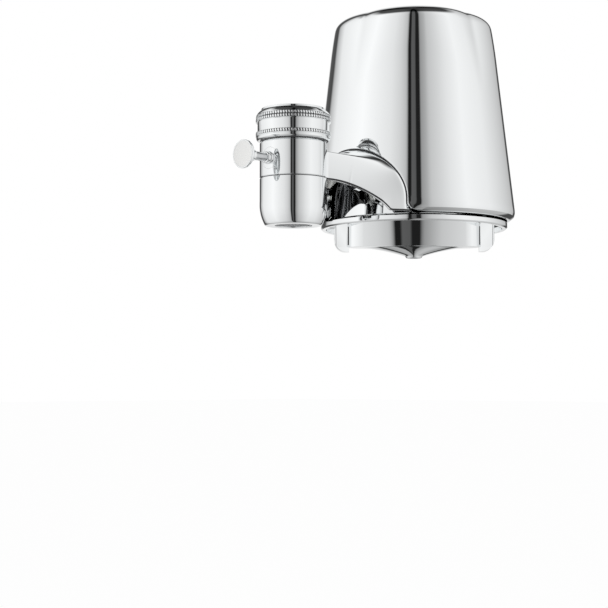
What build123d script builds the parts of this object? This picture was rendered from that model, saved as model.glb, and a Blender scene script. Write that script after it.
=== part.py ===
from build123d import *
from math import cos, radians, sin, sqrt, tan
import os

# Faucet mount water filter.
# Millimetres. The origin is on the faucet axis at the middle of the swivel collar's thread,
# +Z is up and +X runs along the arm from the diverter to the filter housing.

# General clearances and walls
flat_gap = 0.2
run_gap = 0.05
part_gap = 0.3
ring_squeeze = 0.05
cut_overrun = 1.0

# Swivel collar
thread_radius = 11.45
thread_length = 8.0
thread_chamfer = 0.5
collar_wall = 3.65
collar_waist_step = 0.7
collar_top_wall = 1.45
collar_shoulder_height = 3.2
collar_shoulder_sweep = 0.5
collar_shoulder_share = 0.45
collar_upper_band = 1.9
collar_waist_height = 4.4
collar_lower_band = 1.6
collar_bead_height = 2.2
collar_relief = 0.85
collar_lip_reach = 2.1
collar_lip_height = 1.5

# Inlet nipple, washer and screen
nipple_flange_height = 1.0
nipple_wall = 1.9
nipple_spigot_step = 0.9
nipple_spigot_depth = 3.0
nipple_ring_radius = 0.55
washer_height = 1.8
washer_clearance = 1.2
washer_width = 3.9
screen_thickness = 0.6
screen_seat_width = 0.8
screen_ring_shares = ((0, 1), (0.36, 6), (0.7, 12))
screen_hole_radius = 0.7

# Diverter body
body_step = 1.6
seam_z = -23.3
seam_chamfer = 0.25
body_edge = 0.5
spigot_step = 2.6
spigot_height = 5.0
spigot_wall = 2.5
valve_z = -16.4
chamber_radius = 4.0
inlet_slot_width = 5.0
inlet_slot_length = 12.0
down_port_x = -3.3
down_port_radius = 2.2
body_hollow_step = 0.8
cup_ring_radius = 0.8
cup_groove_depth = 0.9
cup_groove_width = 1.7
cup_groove_inset = 1.2

# Outlet cup and aerator
cup_bottom_z = -42.3
cup_rounding_height = 9.4
cup_rounding_sweep = 0.55
cup_rounding_share = 0.42
cup_bottom_step = 2.1
cup_wall = 2.4
cup_bore_step = 0.9
cup_bore_taper = 1.5
cup_thread_relief = 0.75
aerator_step = 5.3
aerator_wall = 1.4
aerator_plate_rise = 2.4
aerator_plate_thickness = 1.4
aerator_ring_shares = ((0.32, 5), (0.64, 10))
aerator_height = 7.4
aerator_lip = 0.8
aerator_hole_radius = 0.9

# Diverter valve and pull knob
knob_travel = 6.0
knob_reach = 14.2
knob_edge = 0.3
knob_radius = 5.6
knob_rim = 1.3
knob_neck_radius = 2.8
knob_neck_end_radius = 2.2
knob_neck_length = 4.3
knob_neck_swell = 0.05
stem_radius = 1.7
spool_length = 6.5
spring_room = 2.9
spool_ring_radius = 0.5
spool_ring_inset = 1.1
seat_washer_thickness = 1.2
gland_depth = 4.0
gland_plug_radius = 4.3
gland_bulge_radius = 2.6
gland_bulge_share = 0.45
gland_nose_step = 0.25
gland_edge = 0.7
gland_ring_radius = 0.6
gland_groove_inset = 1.4
gland_groove_width = 1.5
gland_groove_depth = 1.3
spring_wire_radius = 0.3
spring_wire_sides = 6
spring_radius = 2.9
spring_turns = 3

# Feed line in the arm
port_z = -19.5
port_radius = 2.0
port_neck_radius = 3.6
port_neck_length = 3.5
nut_corner_radius = 5.8
nut_sides = 6
nut_start_gap = 0.9
nut_length = 6.6
feed_radius = 2.8
feed_bore_radius = 1.9
feed_seat_depth = 0.9
feed_flange_thickness = 1.0

# Filter housing
arm_length = 16.4
cover_top_z = 53.0
cover_rim_z = -35.2
cover_wide_z = -31.0
cover_foot_reach_share = 0.78
cover_foot_rise_share = 0.3
cover_wide_radius = 43.7
cover_slope_angle = 6.5
cover_wall = 2.0
cover_shoulder_radius = 6.8
cover_rim_inset = 2.8
cover_rim_wall = 0.7
lobe_start_z = 5.0
lobe_offset = 6.4
lobe_step = 0.1
lobe_slope_angle = 12.4
lobe_gauge_z = 48.1
lobe_count = 4

# Arm shell and the arched mouth of the cover
arm_half_width = 8.4
arm_top_z = -12.0
arm_foot_z = -31.7
arm_rise_power = 2.4
arm_side_steps = 4
arm_roof_steps = 3
arm_stations = 5
arm_edge_angle = 46.8
arm_wall = 1.4
arm_lower_edge_z = -23.6
arm_lower_middle_reach = 13.0
arm_lower_middle_z = -28.7
arm_lower_end_reach = 19.8
arch_half_width = 26.0
arch_crown_z = -8.1
arch_foot_radius = 3.5
arm_tuck = 1.2
screw_reach = 15.5
screw_y = 7.6
screw_boss_radius = 2.2
screw_lug_top_z = -17.9
screw_lug_thickness = 1.7
screw_radius = 1.1
screw_head_radius = 2.1
screw_head_height = 1.5
screw_bite = 2.2
screw_slot_length = 2.6
screw_slot_width = 0.6
screw_slot_depth = 0.6

# Filter body
vessel_clearance = 4.3
vessel_slope_angle = 4.713
vessel_gauge_z = 40.0
vessel_top_z = 46.5
vessel_wall = 2.8
vessel_corner_radius = 7.0
mouth_wall = 3.4
mouth_height = 8.0
rib_width = 2.0
rib_angles = (0, 60, 120, 240, 300)
rib_bottom_gap = 3.0
rib_top_z = 24.0
port_boss_radius = 4.8
port_boss_depth = 3.2

# Bottom cap
cap_step = 0.5
cap_top_z = -35.7
cap_thickness = 2.9
cap_edge = 0.6
skirt_wall = 2.2
skirt_depth = 1.6
plug_clearance = 0.4
plug_height = 7.6
plug_wall = 3.2
lug_count = 3
lug_arc = 18.0
lug_height = 2.0
lug_reach = 1.8
lug_bottom_gap = 2.3
lug_play = 2.0
twist_range = 60.0
cap_ring_radius = 0.75
cap_groove_depth = 1.2
cap_groove_width = 1.7
cap_groove_inset = 2.6
grip_angle = -46.8
grip_half_width = 8.5
grip_end_half_width = 5.2
grip_end_length = 3.4
grip_point_half_width = 2.4
grip_bottom_z = -46.1
grip_wall = 2.2
tip_z = -50.8
tip_radius = 3.8
tip_edge = 0.5
keel_start = (23.5, 5.0)
keel_steps = ((17.6, 5.0, -46.8), (10.5, 4.6, -48.2), (3.8, 3.8, -50.0))
tab_rim_gap = 5.8
tab_length = 6.4
tab_half_width = 5.4
tab_root_half_width = 1.6
tab_bottom_z = -48.1
tab_corner = 5.0
tab_edge = 0.7
nozzle_radius = 3.0
nozzle_bore_radius = 2.1
nozzle_length = 6.0
nozzle_lip = 0.3
nozzle_lip_height = 0.8

# Filter cartridge
cartridge_clearance = 1.2
block_bore_radius = 6.6
block_bottom_z = -27.2
block_top_z = 36.0
wrap_thickness = 1.2
end_cap_rim = 1.0
end_cap_height = 3.6
end_cap_plate = 2.0
tube_wall = 1.4
tube_slot_height = 9.0
tube_slot_width = 2.4
tube_slot_rows = 4
outlet_spigot_radius = 6.0
outlet_spigot_wall = 2.2
outlet_spigot_length = 6.0
outlet_hub_radius = 9.0
outlet_hub_height = 2.4

# Values worked out from the sizes above
collar_radius = thread_radius + collar_wall
collar_waist_radius = collar_radius - collar_waist_step
collar_top_radius = thread_radius + collar_top_wall
collar_relief_radius = thread_radius + collar_relief
collar_lip_radius = collar_relief_radius - collar_lip_reach
nipple_radius = collar_lip_radius - part_gap
nipple_spigot_radius = nipple_radius - nipple_spigot_step
washer_radius = collar_relief_radius - washer_clearance
washer_bore_radius = washer_radius - washer_width
screen_radius = nipple_spigot_radius - nipple_wall + screen_seat_width
body_radius = collar_radius - body_step
spigot_radius = body_radius - spigot_step
body_hollow_radius = spigot_radius - spigot_wall
cup_bottom_radius = body_radius - cup_bottom_step
aerator_radius = body_radius - aerator_step
knob_face_x = -body_radius - knob_reach
gland_inner_x = gland_depth - body_radius
gland_groove_end_x = gland_inner_x - gland_groove_inset
gland_groove_x = gland_groove_end_x - gland_groove_width
spool_start_x = gland_inner_x + spring_room
port_neck_end_x = body_radius + port_neck_length
nut_start_x = body_radius + nut_start_gap
nut_end_x = nut_start_x + nut_length
collar_top_z = thread_length / 2 + thread_chamfer
band_top_z = collar_top_z - collar_shoulder_height
waist_top_z = band_top_z - collar_upper_band
waist_bottom_z = waist_top_z - collar_waist_height
lower_band_end_z = waist_bottom_z - collar_lower_band
collar_bottom_z = lower_band_end_z - collar_bead_height
lip_top_z = collar_bottom_z + collar_lip_height
flange_bottom_z = lip_top_z + flat_gap
flange_top_z = flange_bottom_z + nipple_flange_height
nipple_bore_radius = nipple_spigot_radius - nipple_wall
body_top_z = collar_bottom_z - flat_gap
nipple_end_z = body_top_z - nipple_spigot_depth
nipple_ring_z = body_top_z - nipple_spigot_depth / 2
spool_radius = chamber_radius - run_gap
spool_end_x = spool_start_x + spool_length
spigot_end_z = seam_z - spigot_height
cup_floor_z = cup_bottom_z + aerator_lip
knob_back_x = knob_face_x + knob_rim
knob_end_x = knob_back_x + knob_neck_length
feed_start_x = port_neck_end_x + run_gap
cap_bottom_z = cap_top_z - cap_thickness
lug_bottom_z = cap_top_z + lug_bottom_gap
hub_top_z = cap_top_z + outlet_hub_height
spigot_tip_z = block_bottom_z - end_cap_plate - outlet_spigot_length
filter_x = body_radius + arm_length + cover_wide_radius
cap_radius = cover_wide_radius - cover_rim_inset - cap_step
vessel_bottom_radius = cover_wide_radius - cover_wall - vessel_clearance
vessel_taper = tan(radians(vessel_slope_angle))
vessel_top_radius = vessel_bottom_radius - (vessel_gauge_z - cover_rim_z) * vessel_taper
vessel_port_radius = vessel_bottom_radius - (port_z - cover_rim_z) * vessel_taper
mouth_radius = vessel_bottom_radius - mouth_wall
plug_radius = mouth_radius - plug_clearance
end_cap_radius = vessel_top_radius - vessel_wall - cartridge_clearance
wrap_radius = end_cap_radius - end_cap_rim
block_radius = wrap_radius - wrap_thickness
tab_outer_radius = cap_radius - tab_rim_gap
tab_inner_radius = tab_outer_radius - tab_length
feed_end_x = filter_x - vessel_port_radius + feed_seat_depth
screw_x = body_radius + screw_reach
lowest_z = tip_z - vessel_wall
highest_z = cover_top_z + vessel_wall
chamber_end_x = spool_end_x + seat_washer_thickness + knob_travel + part_gap
gland_outer_x = knob_end_x + knob_travel + part_gap
filter_axis = Location((filter_x, 0, 0))
valve_axis = Location((0, 0, valve_z), (0, 90, 0))
port_axis = Location((0, 0, port_z), (0, 90, 0))


def turned(points):
    """Solid of revolution about Z from (radius, z) points."""
    outline = Polyline(*[(radius, 0, height) for radius, height in points], close=True)
    return revolve(make_face(outline), Axis.Z)


def ring(outer, inner, bottom, top):
    """Plain tube about Z between two heights."""
    return turned([(inner, bottom), (outer, bottom), (outer, top), (inner, top)])


def rod(radius, bottom, top):
    """Plain round bar about Z between two heights."""
    return Pos(0, 0, bottom) * Cylinder(radius, top - bottom, align=(Align.CENTER, Align.CENTER, Align.MIN))


def rod_x(radius, start, end, place=valve_axis):
    """Round bar along X on the valve's or the port's axis."""
    return place * rod(radius, start, end)


def o_ring(middle_radius, section_radius, height):
    """Round-section sealing ring about Z."""
    return Pos(0, 0, height) * Torus(middle_radius, section_radius)


def swivel_collar():
    """Threaded swivel nut with two raised grip bands, a waist and a rounded bead."""
    bead_middle_z = lower_band_end_z - collar_bead_height / 2
    shoulder_middle_z = band_top_z + collar_shoulder_height * collar_shoulder_share
    edges = [
        Line((thread_radius, 0, thread_length / 2), (thread_radius + thread_chamfer, 0, collar_top_z)),
        Line((thread_radius + thread_chamfer, 0, collar_top_z), (collar_top_radius, 0, collar_top_z)),
        ThreePointArc(
            (collar_top_radius, 0, collar_top_z),
            (collar_radius - collar_shoulder_sweep, 0, shoulder_middle_z),
            (collar_radius, 0, band_top_z),
        ),
        Polyline(
            (collar_radius, 0, band_top_z),
            (collar_radius, 0, waist_top_z),
            (collar_waist_radius, 0, waist_top_z - flat_gap),
            (collar_waist_radius, 0, waist_bottom_z + flat_gap),
            (collar_radius, 0, waist_bottom_z),
            (collar_radius, 0, lower_band_end_z),
            (collar_waist_radius + flat_gap, 0, lower_band_end_z - flat_gap),
        ),
        ThreePointArc(
            (collar_waist_radius + flat_gap, 0, lower_band_end_z - flat_gap),
            (collar_radius - flat_gap, 0, bead_middle_z),
            (body_radius + flat_gap, 0, collar_bottom_z),
        ),
        Polyline(
            (body_radius + flat_gap, 0, collar_bottom_z),
            (collar_lip_radius, 0, collar_bottom_z),
            (collar_lip_radius, 0, lip_top_z),
            (collar_relief_radius, 0, lip_top_z),
            (collar_relief_radius, 0, -thread_length / 2),
            (thread_radius, 0, -thread_length / 2),
            (thread_radius, 0, thread_length / 2),
        ),
    ]
    return revolve(make_face(edges), Axis.Z)


def inlet_nipple():
    """Flanged tailpiece that the collar turns on, with a seat for the screen."""
    shape = turned(
        [
            (nipple_bore_radius, nipple_end_z),
            (nipple_spigot_radius, nipple_end_z),
            (nipple_spigot_radius, body_top_z),
            (nipple_radius, body_top_z),
            (nipple_radius, flange_bottom_z),
            (washer_radius, flange_bottom_z),
            (washer_radius, flange_top_z),
            (nipple_bore_radius, flange_top_z),
        ]
    )
    shape -= rod(screen_radius + run_gap, flange_top_z - screen_thickness, flange_top_z + cut_overrun)
    groove_half = nipple_ring_radius + run_gap
    groove_floor = nipple_spigot_radius - 2 * nipple_ring_radius
    groove_radius = nipple_spigot_radius + cut_overrun
    return shape - ring(groove_radius, groove_floor, nipple_ring_z - groove_half, nipple_ring_z + groove_half)


def inlet_washer():
    """Flat rubber washer on the nipple's flange."""
    return ring(washer_radius, washer_bore_radius, flange_top_z, flange_top_z + washer_height)


def inlet_screen():
    """Perforated strainer disc under the washer."""
    disc = rod(screen_radius, flange_top_z - screen_thickness, flange_top_z)
    hole = Pos(0, 0, flange_top_z) * Cylinder(screen_hole_radius, 4 * screen_thickness)
    for share, count in screen_ring_shares:
        disc -= [place * hole for place in PolarLocations(screen_radius * share, count)]
    return disc


def nipple_o_ring():
    """Seal between the nipple's spigot and the body."""
    middle_radius = nipple_spigot_radius - nipple_ring_radius + run_gap
    return o_ring(middle_radius, nipple_ring_radius - run_gap, nipple_ring_z)


def diverter_body():
    """Machined body with the inlet, the cross chamber of the valve and two ports."""
    shape = turned(
        [
            (0, body_top_z),
            (body_radius - body_edge, body_top_z),
            (body_radius, body_top_z - body_edge),
            (body_radius, seam_z + seam_chamfer),
            (body_radius - seam_chamfer, seam_z),
            (spigot_radius, seam_z),
            (spigot_radius, spigot_end_z),
            (0, spigot_end_z),
        ]
    )
    shape += rod_x(port_neck_radius, 0, port_neck_end_x, port_axis)
    shape -= rod(nipple_spigot_radius + run_gap, nipple_end_z, body_top_z + cut_overrun)
    shape -= rod_x(chamber_radius, gland_inner_x - cut_overrun, chamber_end_x)
    shape -= rod_x(gland_plug_radius + run_gap, -body_radius - cut_overrun, gland_inner_x)
    slot_height = nipple_end_z - valve_z
    shape -= Pos(0, 0, valve_z + slot_height / 2) * Box(inlet_slot_length, inlet_slot_width, slot_height)
    shape -= rod_x(port_radius, 0, port_neck_end_x + cut_overrun, port_axis)
    shape -= Pos(down_port_x, 0, 0) * rod(down_port_radius, spigot_end_z - cut_overrun, valve_z)
    shape -= rod(body_hollow_radius, spigot_end_z - flat_gap, seam_z - body_hollow_step)
    groove_z = spigot_end_z + cup_groove_inset
    return shape - ring(body_radius, spigot_radius - cup_groove_depth, groove_z, groove_z + cup_groove_width)


def cup_o_ring():
    """Seal in the groove of the body's spigot."""
    middle_radius = spigot_radius - cup_groove_depth + run_gap + cup_ring_radius
    return o_ring(middle_radius, cup_ring_radius, spigot_end_z + cup_groove_inset + cup_groove_width / 2)


def outlet_cup():
    """Round cup that screws to the body and holds the aerator."""
    outer = [
        Line((body_radius - seam_chamfer, 0, seam_z), (body_radius, 0, seam_z - seam_chamfer)),
        Line((body_radius, 0, seam_z - seam_chamfer), (body_radius, 0, cup_bottom_z + cup_rounding_height)),
        ThreePointArc(
            (body_radius, 0, cup_bottom_z + cup_rounding_height),
            (body_radius - cup_rounding_sweep, 0, cup_bottom_z + cup_rounding_height * cup_rounding_share),
            (cup_bottom_radius, 0, cup_bottom_z),
        ),
    ]
    socket_radius = spigot_radius + run_gap
    bore_radius = body_radius - cup_wall - cup_bore_step
    inner = Polyline(
        (cup_bottom_radius, 0, cup_bottom_z),
        (aerator_radius - aerator_lip, 0, cup_bottom_z),
        (aerator_radius - aerator_lip, 0, cup_floor_z),
        (aerator_radius + run_gap, 0, cup_floor_z),
        (aerator_radius + run_gap, 0, cup_floor_z + aerator_height),
        (bore_radius, 0, cup_floor_z + aerator_height + cup_bore_taper),
        (bore_radius, 0, spigot_end_z - part_gap),
        (socket_radius + cup_thread_relief, 0, spigot_end_z - part_gap),
        (socket_radius + cup_thread_relief, 0, seam_z),
        (body_radius - seam_chamfer, 0, seam_z),
    )
    return revolve(make_face([*outer, inner]), Axis.Z)


def aerator_insert():
    """Perforated flow disc with a short skirt in the mouth of the cup."""
    plate_z = cup_floor_z + aerator_plate_rise
    shape = ring(aerator_radius, aerator_radius - aerator_wall, cup_floor_z, cup_floor_z + aerator_height)
    shape += rod(aerator_radius, plate_z, plate_z + aerator_plate_thickness)
    hole = Pos(0, 0, plate_z) * Cylinder(aerator_hole_radius, 4 * aerator_plate_thickness)
    for share, count in aerator_ring_shares:
        shape -= [place * hole for place in PolarLocations(aerator_radius * share, count)]
    return shape


def pull_knob():
    """Flat round knob with a hollow-sided neck, turned in one piece."""
    edges = [
        Polyline(
            (0, 0, knob_face_x),
            (knob_radius - knob_edge, 0, knob_face_x),
            (knob_radius, 0, knob_face_x + knob_edge),
            (knob_radius, 0, knob_back_x - knob_edge),
            (knob_radius - knob_edge, 0, knob_back_x),
            (knob_neck_radius, 0, knob_back_x),
        ),
        ThreePointArc(
            (knob_neck_radius, 0, knob_back_x),
            (knob_neck_end_radius + knob_neck_swell, 0, knob_back_x + knob_neck_length / 2),
            (knob_neck_end_radius, 0, knob_end_x),
        ),
        Line((knob_neck_end_radius, 0, knob_end_x), (0, 0, knob_end_x)),
        Line((0, 0, knob_end_x), (0, 0, knob_face_x)),
    ]
    knob = valve_axis * revolve(make_face(edges), Axis.Z)
    return knob - rod_x(stem_radius, knob_back_x, knob_end_x + flat_gap)


def valve_stem():
    """Stem with the sealing spool, grooved for two rings, in one piece."""
    shape = rod_x(stem_radius, knob_back_x, spool_start_x)
    shape += rod_x(spool_radius, spool_start_x, spool_end_x)
    shape += rod_x(stem_radius, spool_end_x, spool_end_x + seat_washer_thickness)
    for middle in spool_ring_places():
        floor_radius = spool_radius - 2 * spool_ring_radius - 2 * ring_squeeze
        groove_half = spool_ring_radius + ring_squeeze
        groove = ring(spool_radius + cut_overrun, floor_radius, middle - groove_half, middle + groove_half)
        shape -= valve_axis * groove
    return shape


def spool_ring_places():
    """Places along X of the two spool rings."""
    return [spool_start_x + spool_ring_inset, spool_end_x - spool_ring_inset]


def stem_o_rings():
    """The two rings of the spool."""
    rings = [
        valve_axis * o_ring(spool_radius - spool_ring_radius - ring_squeeze, spool_ring_radius, middle)
        for middle in spool_ring_places()
    ]
    return rings


def valve_disc():
    """Rubber seat washer on the spool's nose."""
    washer_end_x = spool_end_x + seat_washer_thickness
    disc = ring(spool_radius - part_gap, stem_radius + run_gap, spool_end_x, washer_end_x)
    return valve_axis * disc


def gland_bushing():
    """Threaded bushing, flush with the body, with two rounded bulges round the stem."""
    plug = rod_x(gland_plug_radius, -collar_radius, gland_inner_x)
    plug = plug & rod(body_radius, valve_z - body_radius, valve_z + body_radius)
    middle_x = -body_radius - (-gland_outer_x - body_radius) * gland_bulge_share
    shape = plug
    for radius, start, end in (
        (gland_bulge_radius, middle_x, gland_inner_x - gland_groove_inset),
        (gland_bulge_radius - gland_nose_step, gland_outer_x, middle_x),
    ):
        bulge = rod(radius, start, end)
        bulge = fillet(bulge.edges().group_by(Axis.Z)[0], gland_edge)
        shape += valve_axis * bulge
    shape -= rod_x(stem_radius + run_gap, gland_outer_x - flat_gap, gland_inner_x + flat_gap)
    groove = ring(stem_radius + gland_groove_depth, stem_radius / 2, gland_groove_x, gland_groove_end_x)
    return shape - valve_axis * groove


def gland_o_ring():
    """Seal round the stem in the bushing's groove."""
    middle_x = (gland_groove_x + gland_groove_end_x) / 2
    return valve_axis * o_ring(stem_radius + run_gap + gland_ring_radius, gland_ring_radius, middle_x)


def return_spring():
    """Light spring between the bushing and the spool, squeezed flat while the knob is out."""
    room = spool_start_x - gland_inner_x
    height = room - 2 * spring_wire_radius - 2 * flat_gap
    pitch = height / spring_turns
    path = Helix(pitch, height, spring_radius)
    section = Plane(path @ 0, z_dir=path % 0) * RegularPolygon(spring_wire_radius, spring_wire_sides)
    coil = sweep(section, path, is_frenet=True)
    return Location((gland_inner_x + spring_wire_radius + flat_gap, 0, valve_z), (0, 90, 0)) * coil


def union_nut():
    """Hexagon nut that clamps the feed tube's flange on the port."""
    hexagon = RegularPolygon(nut_corner_radius, nut_sides)
    blank = port_axis * (Pos(0, 0, nut_start_x) * extrude(hexagon, nut_end_x - nut_start_x))
    flange_end = feed_start_x + feed_flange_thickness
    blank -= rod_x(port_neck_radius + run_gap, nut_start_x - cut_overrun, flange_end + run_gap, port_axis)
    return blank - rod_x(feed_radius + run_gap, nut_start_x, nut_end_x + cut_overrun, port_axis)


def feed_tube():
    """Flanged tube that carries the water through the arm into the filter body."""
    shape = rod_x(feed_radius, feed_start_x, feed_end_x, port_axis)
    shape += rod_x(port_neck_radius, feed_start_x, feed_start_x + feed_flange_thickness, port_axis)
    return shape - rod_x(feed_bore_radius, feed_start_x - cut_overrun, feed_end_x + cut_overrun, port_axis)


def slope(radius, gauge_z, angle, height):
    """Radius at a height of a cone that narrows upwards by an angle from its gauge line."""
    return radius - (height - gauge_z) * sin(radians(angle)) / cos(radians(angle))


def lobe_solid(inset, bottom_z):
    """One round lobe of the cover about its own axis, with its shoulder."""
    top_z = cover_top_z - inset
    shoulder = cover_shoulder_radius - inset
    angle = radians(lobe_slope_angle)
    bell_radius = slope(cover_wide_radius, cover_wide_z, cover_slope_angle, lobe_gauge_z)
    lobe_radius = bell_radius - lobe_offset - lobe_step
    side_at_top = slope(lobe_radius - inset, lobe_gauge_z, lobe_slope_angle, top_z)
    centre_radius = side_at_top + shoulder * tan(angle) - shoulder / cos(angle)
    centre_z = top_z - shoulder
    touch_radius = centre_radius + shoulder * cos(angle)
    touch_z = centre_z + shoulder * sin(angle)
    middle = radians(90 + lobe_slope_angle) / 2
    foot_radius = slope(touch_radius, touch_z, lobe_slope_angle, bottom_z)
    edges = [
        Line((0, 0, bottom_z), (foot_radius, 0, bottom_z)),
        Line((foot_radius, 0, bottom_z), (touch_radius, 0, touch_z)),
        ThreePointArc(
            (touch_radius, 0, touch_z),
            (centre_radius + shoulder * cos(middle), 0, centre_z + shoulder * sin(middle)),
            (centre_radius, 0, top_z),
        ),
        Line((centre_radius, 0, top_z), (0, 0, top_z)),
        Line((0, 0, top_z), (0, 0, bottom_z)),
    ]
    return revolve(make_face(edges), Axis.Z)


def bell_solid(inset, bottom_z, bottom_radius):
    """The cover's form: a tapered bell whose top is divided into round lobes."""
    top_z = highest_z
    wide = cover_wide_radius - inset
    foot_radius = bottom_radius + (wide - bottom_radius) * cover_foot_reach_share
    foot_z = bottom_z + (cover_wide_z - bottom_z) * cover_foot_rise_share
    edges = [
        Line((0, 0, bottom_z), (bottom_radius, 0, bottom_z)),
        ThreePointArc(
            (bottom_radius, 0, bottom_z),
            (foot_radius, 0, foot_z),
            (wide, 0, cover_wide_z),
        ),
        Line((wide, 0, cover_wide_z), (slope(wide, cover_wide_z, cover_slope_angle, top_z), 0, top_z)),
        Line((slope(wide, cover_wide_z, cover_slope_angle, top_z), 0, top_z), (0, 0, top_z)),
        Line((0, 0, top_z), (0, 0, bottom_z)),
    ]
    bell = revolve(make_face(edges), Axis.Z)
    lobe = Pos(lobe_offset, 0, 0) * lobe_solid(inset, lobe_start_z)
    first_angle = 180 / lobe_count
    crown = Rot(0, 0, first_angle) * lobe
    for index in range(1, lobe_count):
        crown += Rot(0, 0, first_angle + 360 / lobe_count * index) * lobe
    lower = bell & rod(2 * cover_wide_radius, bottom_z - cover_wall, lobe_start_z)
    upper = bell & crown
    return lower + upper


def arch_form(inset, start_x, end_x):
    """Bar along X with the arch's half-ellipse above its foot."""
    half_width = arch_half_width - inset
    depth = arm_foot_z - lowest_z
    arch = Pos(0, arm_foot_z) * Ellipse(half_width, arch_crown_z - inset - arm_foot_z)
    arch += Pos(0, arm_foot_z - depth / 2) * Rectangle(2 * half_width, depth)
    arch = Plane.YZ * arch
    return Pos(start_x, 0, 0) * extrude(arch, end_x - start_x)


def arm_point(x, angle, inset):
    """Point of the arm's outline across X, at an angle of the arch counted from its foot."""
    arch_y = (arch_half_width - inset) * cos(radians(angle))
    arch_z = arm_foot_z + (arch_crown_z - inset - arm_foot_z) * sin(radians(angle))
    meet_radius = slope(cover_wide_radius, cover_wide_z, cover_slope_angle, arch_z)
    meet_x = filter_x - sqrt(meet_radius**2 - arch_y**2)
    share = min(max((x - body_radius) / (meet_x - body_radius), 0), 1)
    top_z = arm_top_z - inset
    if angle < arm_edge_angle:
        box_y = arm_half_width - inset
        box_z = arm_foot_z + (top_z - arm_foot_z) * angle / arm_edge_angle
        rise = share
    else:
        box_y = (arm_half_width - inset) * (90 - angle) / (90 - arm_edge_angle)
        box_z = top_z
        rise = share ** (1 + (arm_rise_power - 1) * (angle - arm_edge_angle) / (90 - arm_edge_angle))
    return box_y + (arch_y - box_y) * share, box_z + (arch_z - box_z) * rise


def arm_section(x, inset):
    """Outline across X: boxy with a crisp edge at the diverter, a half-ellipse at the cover."""
    side = [arm_point(x, arm_edge_angle * step / arm_side_steps, inset) for step in range(arm_side_steps + 1)]
    roof_angle = (90 - arm_edge_angle) / arm_roof_steps
    top = [arm_point(x, arm_edge_angle + roof_angle * step, inset) for step in range(arm_roof_steps + 1)]
    left = [(x, y, z) for y, z in side]
    right = [(x, -y, z) for y, z in reversed(side)]
    roof = [(x, y, z) for y, z in top] + [(x, -y, z) for y, z in reversed(top[:-1])]
    foot = Polyline(right[-1], (x, right[-1][1], lowest_z), (x, left[0][1], lowest_z), left[0])
    return make_face([Spline(*left), Spline(*roof), Spline(*right), foot])


def arm_form(inset):
    """The arm's outer form, drawn in by a wall or let out by a gap."""
    end_radius = slope(cover_wide_radius, cover_wide_z, cover_slope_angle, arm_foot_z)
    end_x = filter_x - sqrt(end_radius**2 - arch_half_width**2)
    stations = [body_radius + (end_x - body_radius) * step / arm_stations for step in range(arm_stations + 1)]
    sections = [arm_section(x, inset) for x in stations]
    level = extrude(sections[0], body_radius, dir=(-1, 0, 0))
    arch = extrude(sections[-1], block_radius / 2, dir=(1, 0, 0))
    return level + loft(sections) + arch


def arm_underside():
    """Everything under the arm's curved lower edge."""
    start = (body_radius / 2, 0, arm_lower_edge_z)
    middle = (body_radius + arm_lower_middle_reach, 0, arm_lower_middle_z)
    end = (body_radius + arm_lower_end_reach, 0, cover_rim_z)
    floor_z = lowest_z - vessel_wall
    edges = [
        ThreePointArc(start, middle, end),
        Polyline(end, (filter_x, 0, cover_rim_z), (filter_x, 0, floor_z), (start[0], 0, floor_z), start),
    ]
    return extrude(make_face(edges), cover_wide_radius, both=True)


def outer_cover():
    """Bell cover with four lobes and the arched mouth for the arm."""
    outside = bell_solid(0, cover_rim_z, cover_wide_radius - cover_rim_inset)
    inside = bell_solid(cover_wall, cover_rim_z, cover_wide_radius - cover_rim_inset - cover_rim_wall)
    shape = filter_axis * (outside - inside)
    shape -= arch_form(-part_gap, 0, filter_x)
    foot_y = arch_half_width + part_gap
    round_z = cover_rim_z + arch_foot_radius
    corner = Pos(0, 0, round_z) * Box(filter_x, 2 * (foot_y + arch_foot_radius), 2 * arch_foot_radius)
    for side in (-1, 1):
        rounding = rod_x(arch_foot_radius, -filter_x, filter_x, Location((0, 0, round_z), (0, 90, 0)))
        corner -= Pos(0, side * (foot_y + arch_foot_radius), 0) * rounding
    corner = corner & (Pos(0, 0, cover_rim_z) * Box(2 * filter_x, 4 * foot_y, 2 * arch_foot_radius))
    return shape - Pos(filter_x / 2, 0, 0) * corner


def arm_shell():
    """Open-bottomed trumpet arm with two screw bosses."""
    shape = arm_form(0) - arm_form(arm_wall)
    bosses = rod(screw_boss_radius, screw_lug_top_z, 0)
    for side in (-1, 1):
        shape += Pos(screw_x, side * screw_y, 0) * bosses & arm_form(arm_wall / 2)
    shape -= arm_underside()
    shape -= rod(body_radius + run_gap, lowest_z, 0)
    end_radius = cover_wide_radius - cover_wall - arm_tuck
    shape -= filter_axis * turned(
        [
            (0, lowest_z),
            (slope(end_radius, cover_wide_z, cover_slope_angle, lowest_z), lowest_z),
            (slope(end_radius, cover_wide_z, cover_slope_angle, rib_top_z), rib_top_z),
            (0, rib_top_z),
        ]
    )
    for side in (-1, 1):
        hole = rod(screw_radius, screw_lug_top_z - arm_wall, screw_lug_top_z + screw_bite + flat_gap)
        shape -= Pos(screw_x, side * screw_y, 0) * hole
    return shape


def arm_screws():
    """Two pan-head screws that hold the arm shell on the filter body's lugs."""
    head_z = screw_lug_top_z - screw_lug_thickness
    screws = []
    for side in (-1, 1):
        screw = rod(screw_head_radius, head_z - screw_head_height, head_z)
        screw += rod(screw_radius, head_z, screw_lug_top_z + screw_bite)
        slot = Box(screw_slot_length, screw_slot_width, 2 * screw_slot_depth)
        screw -= Pos(0, 0, head_z - screw_head_height) * slot
        screws.append(Pos(screw_x, side * screw_y, 0) * screw)
    return screws


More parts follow.
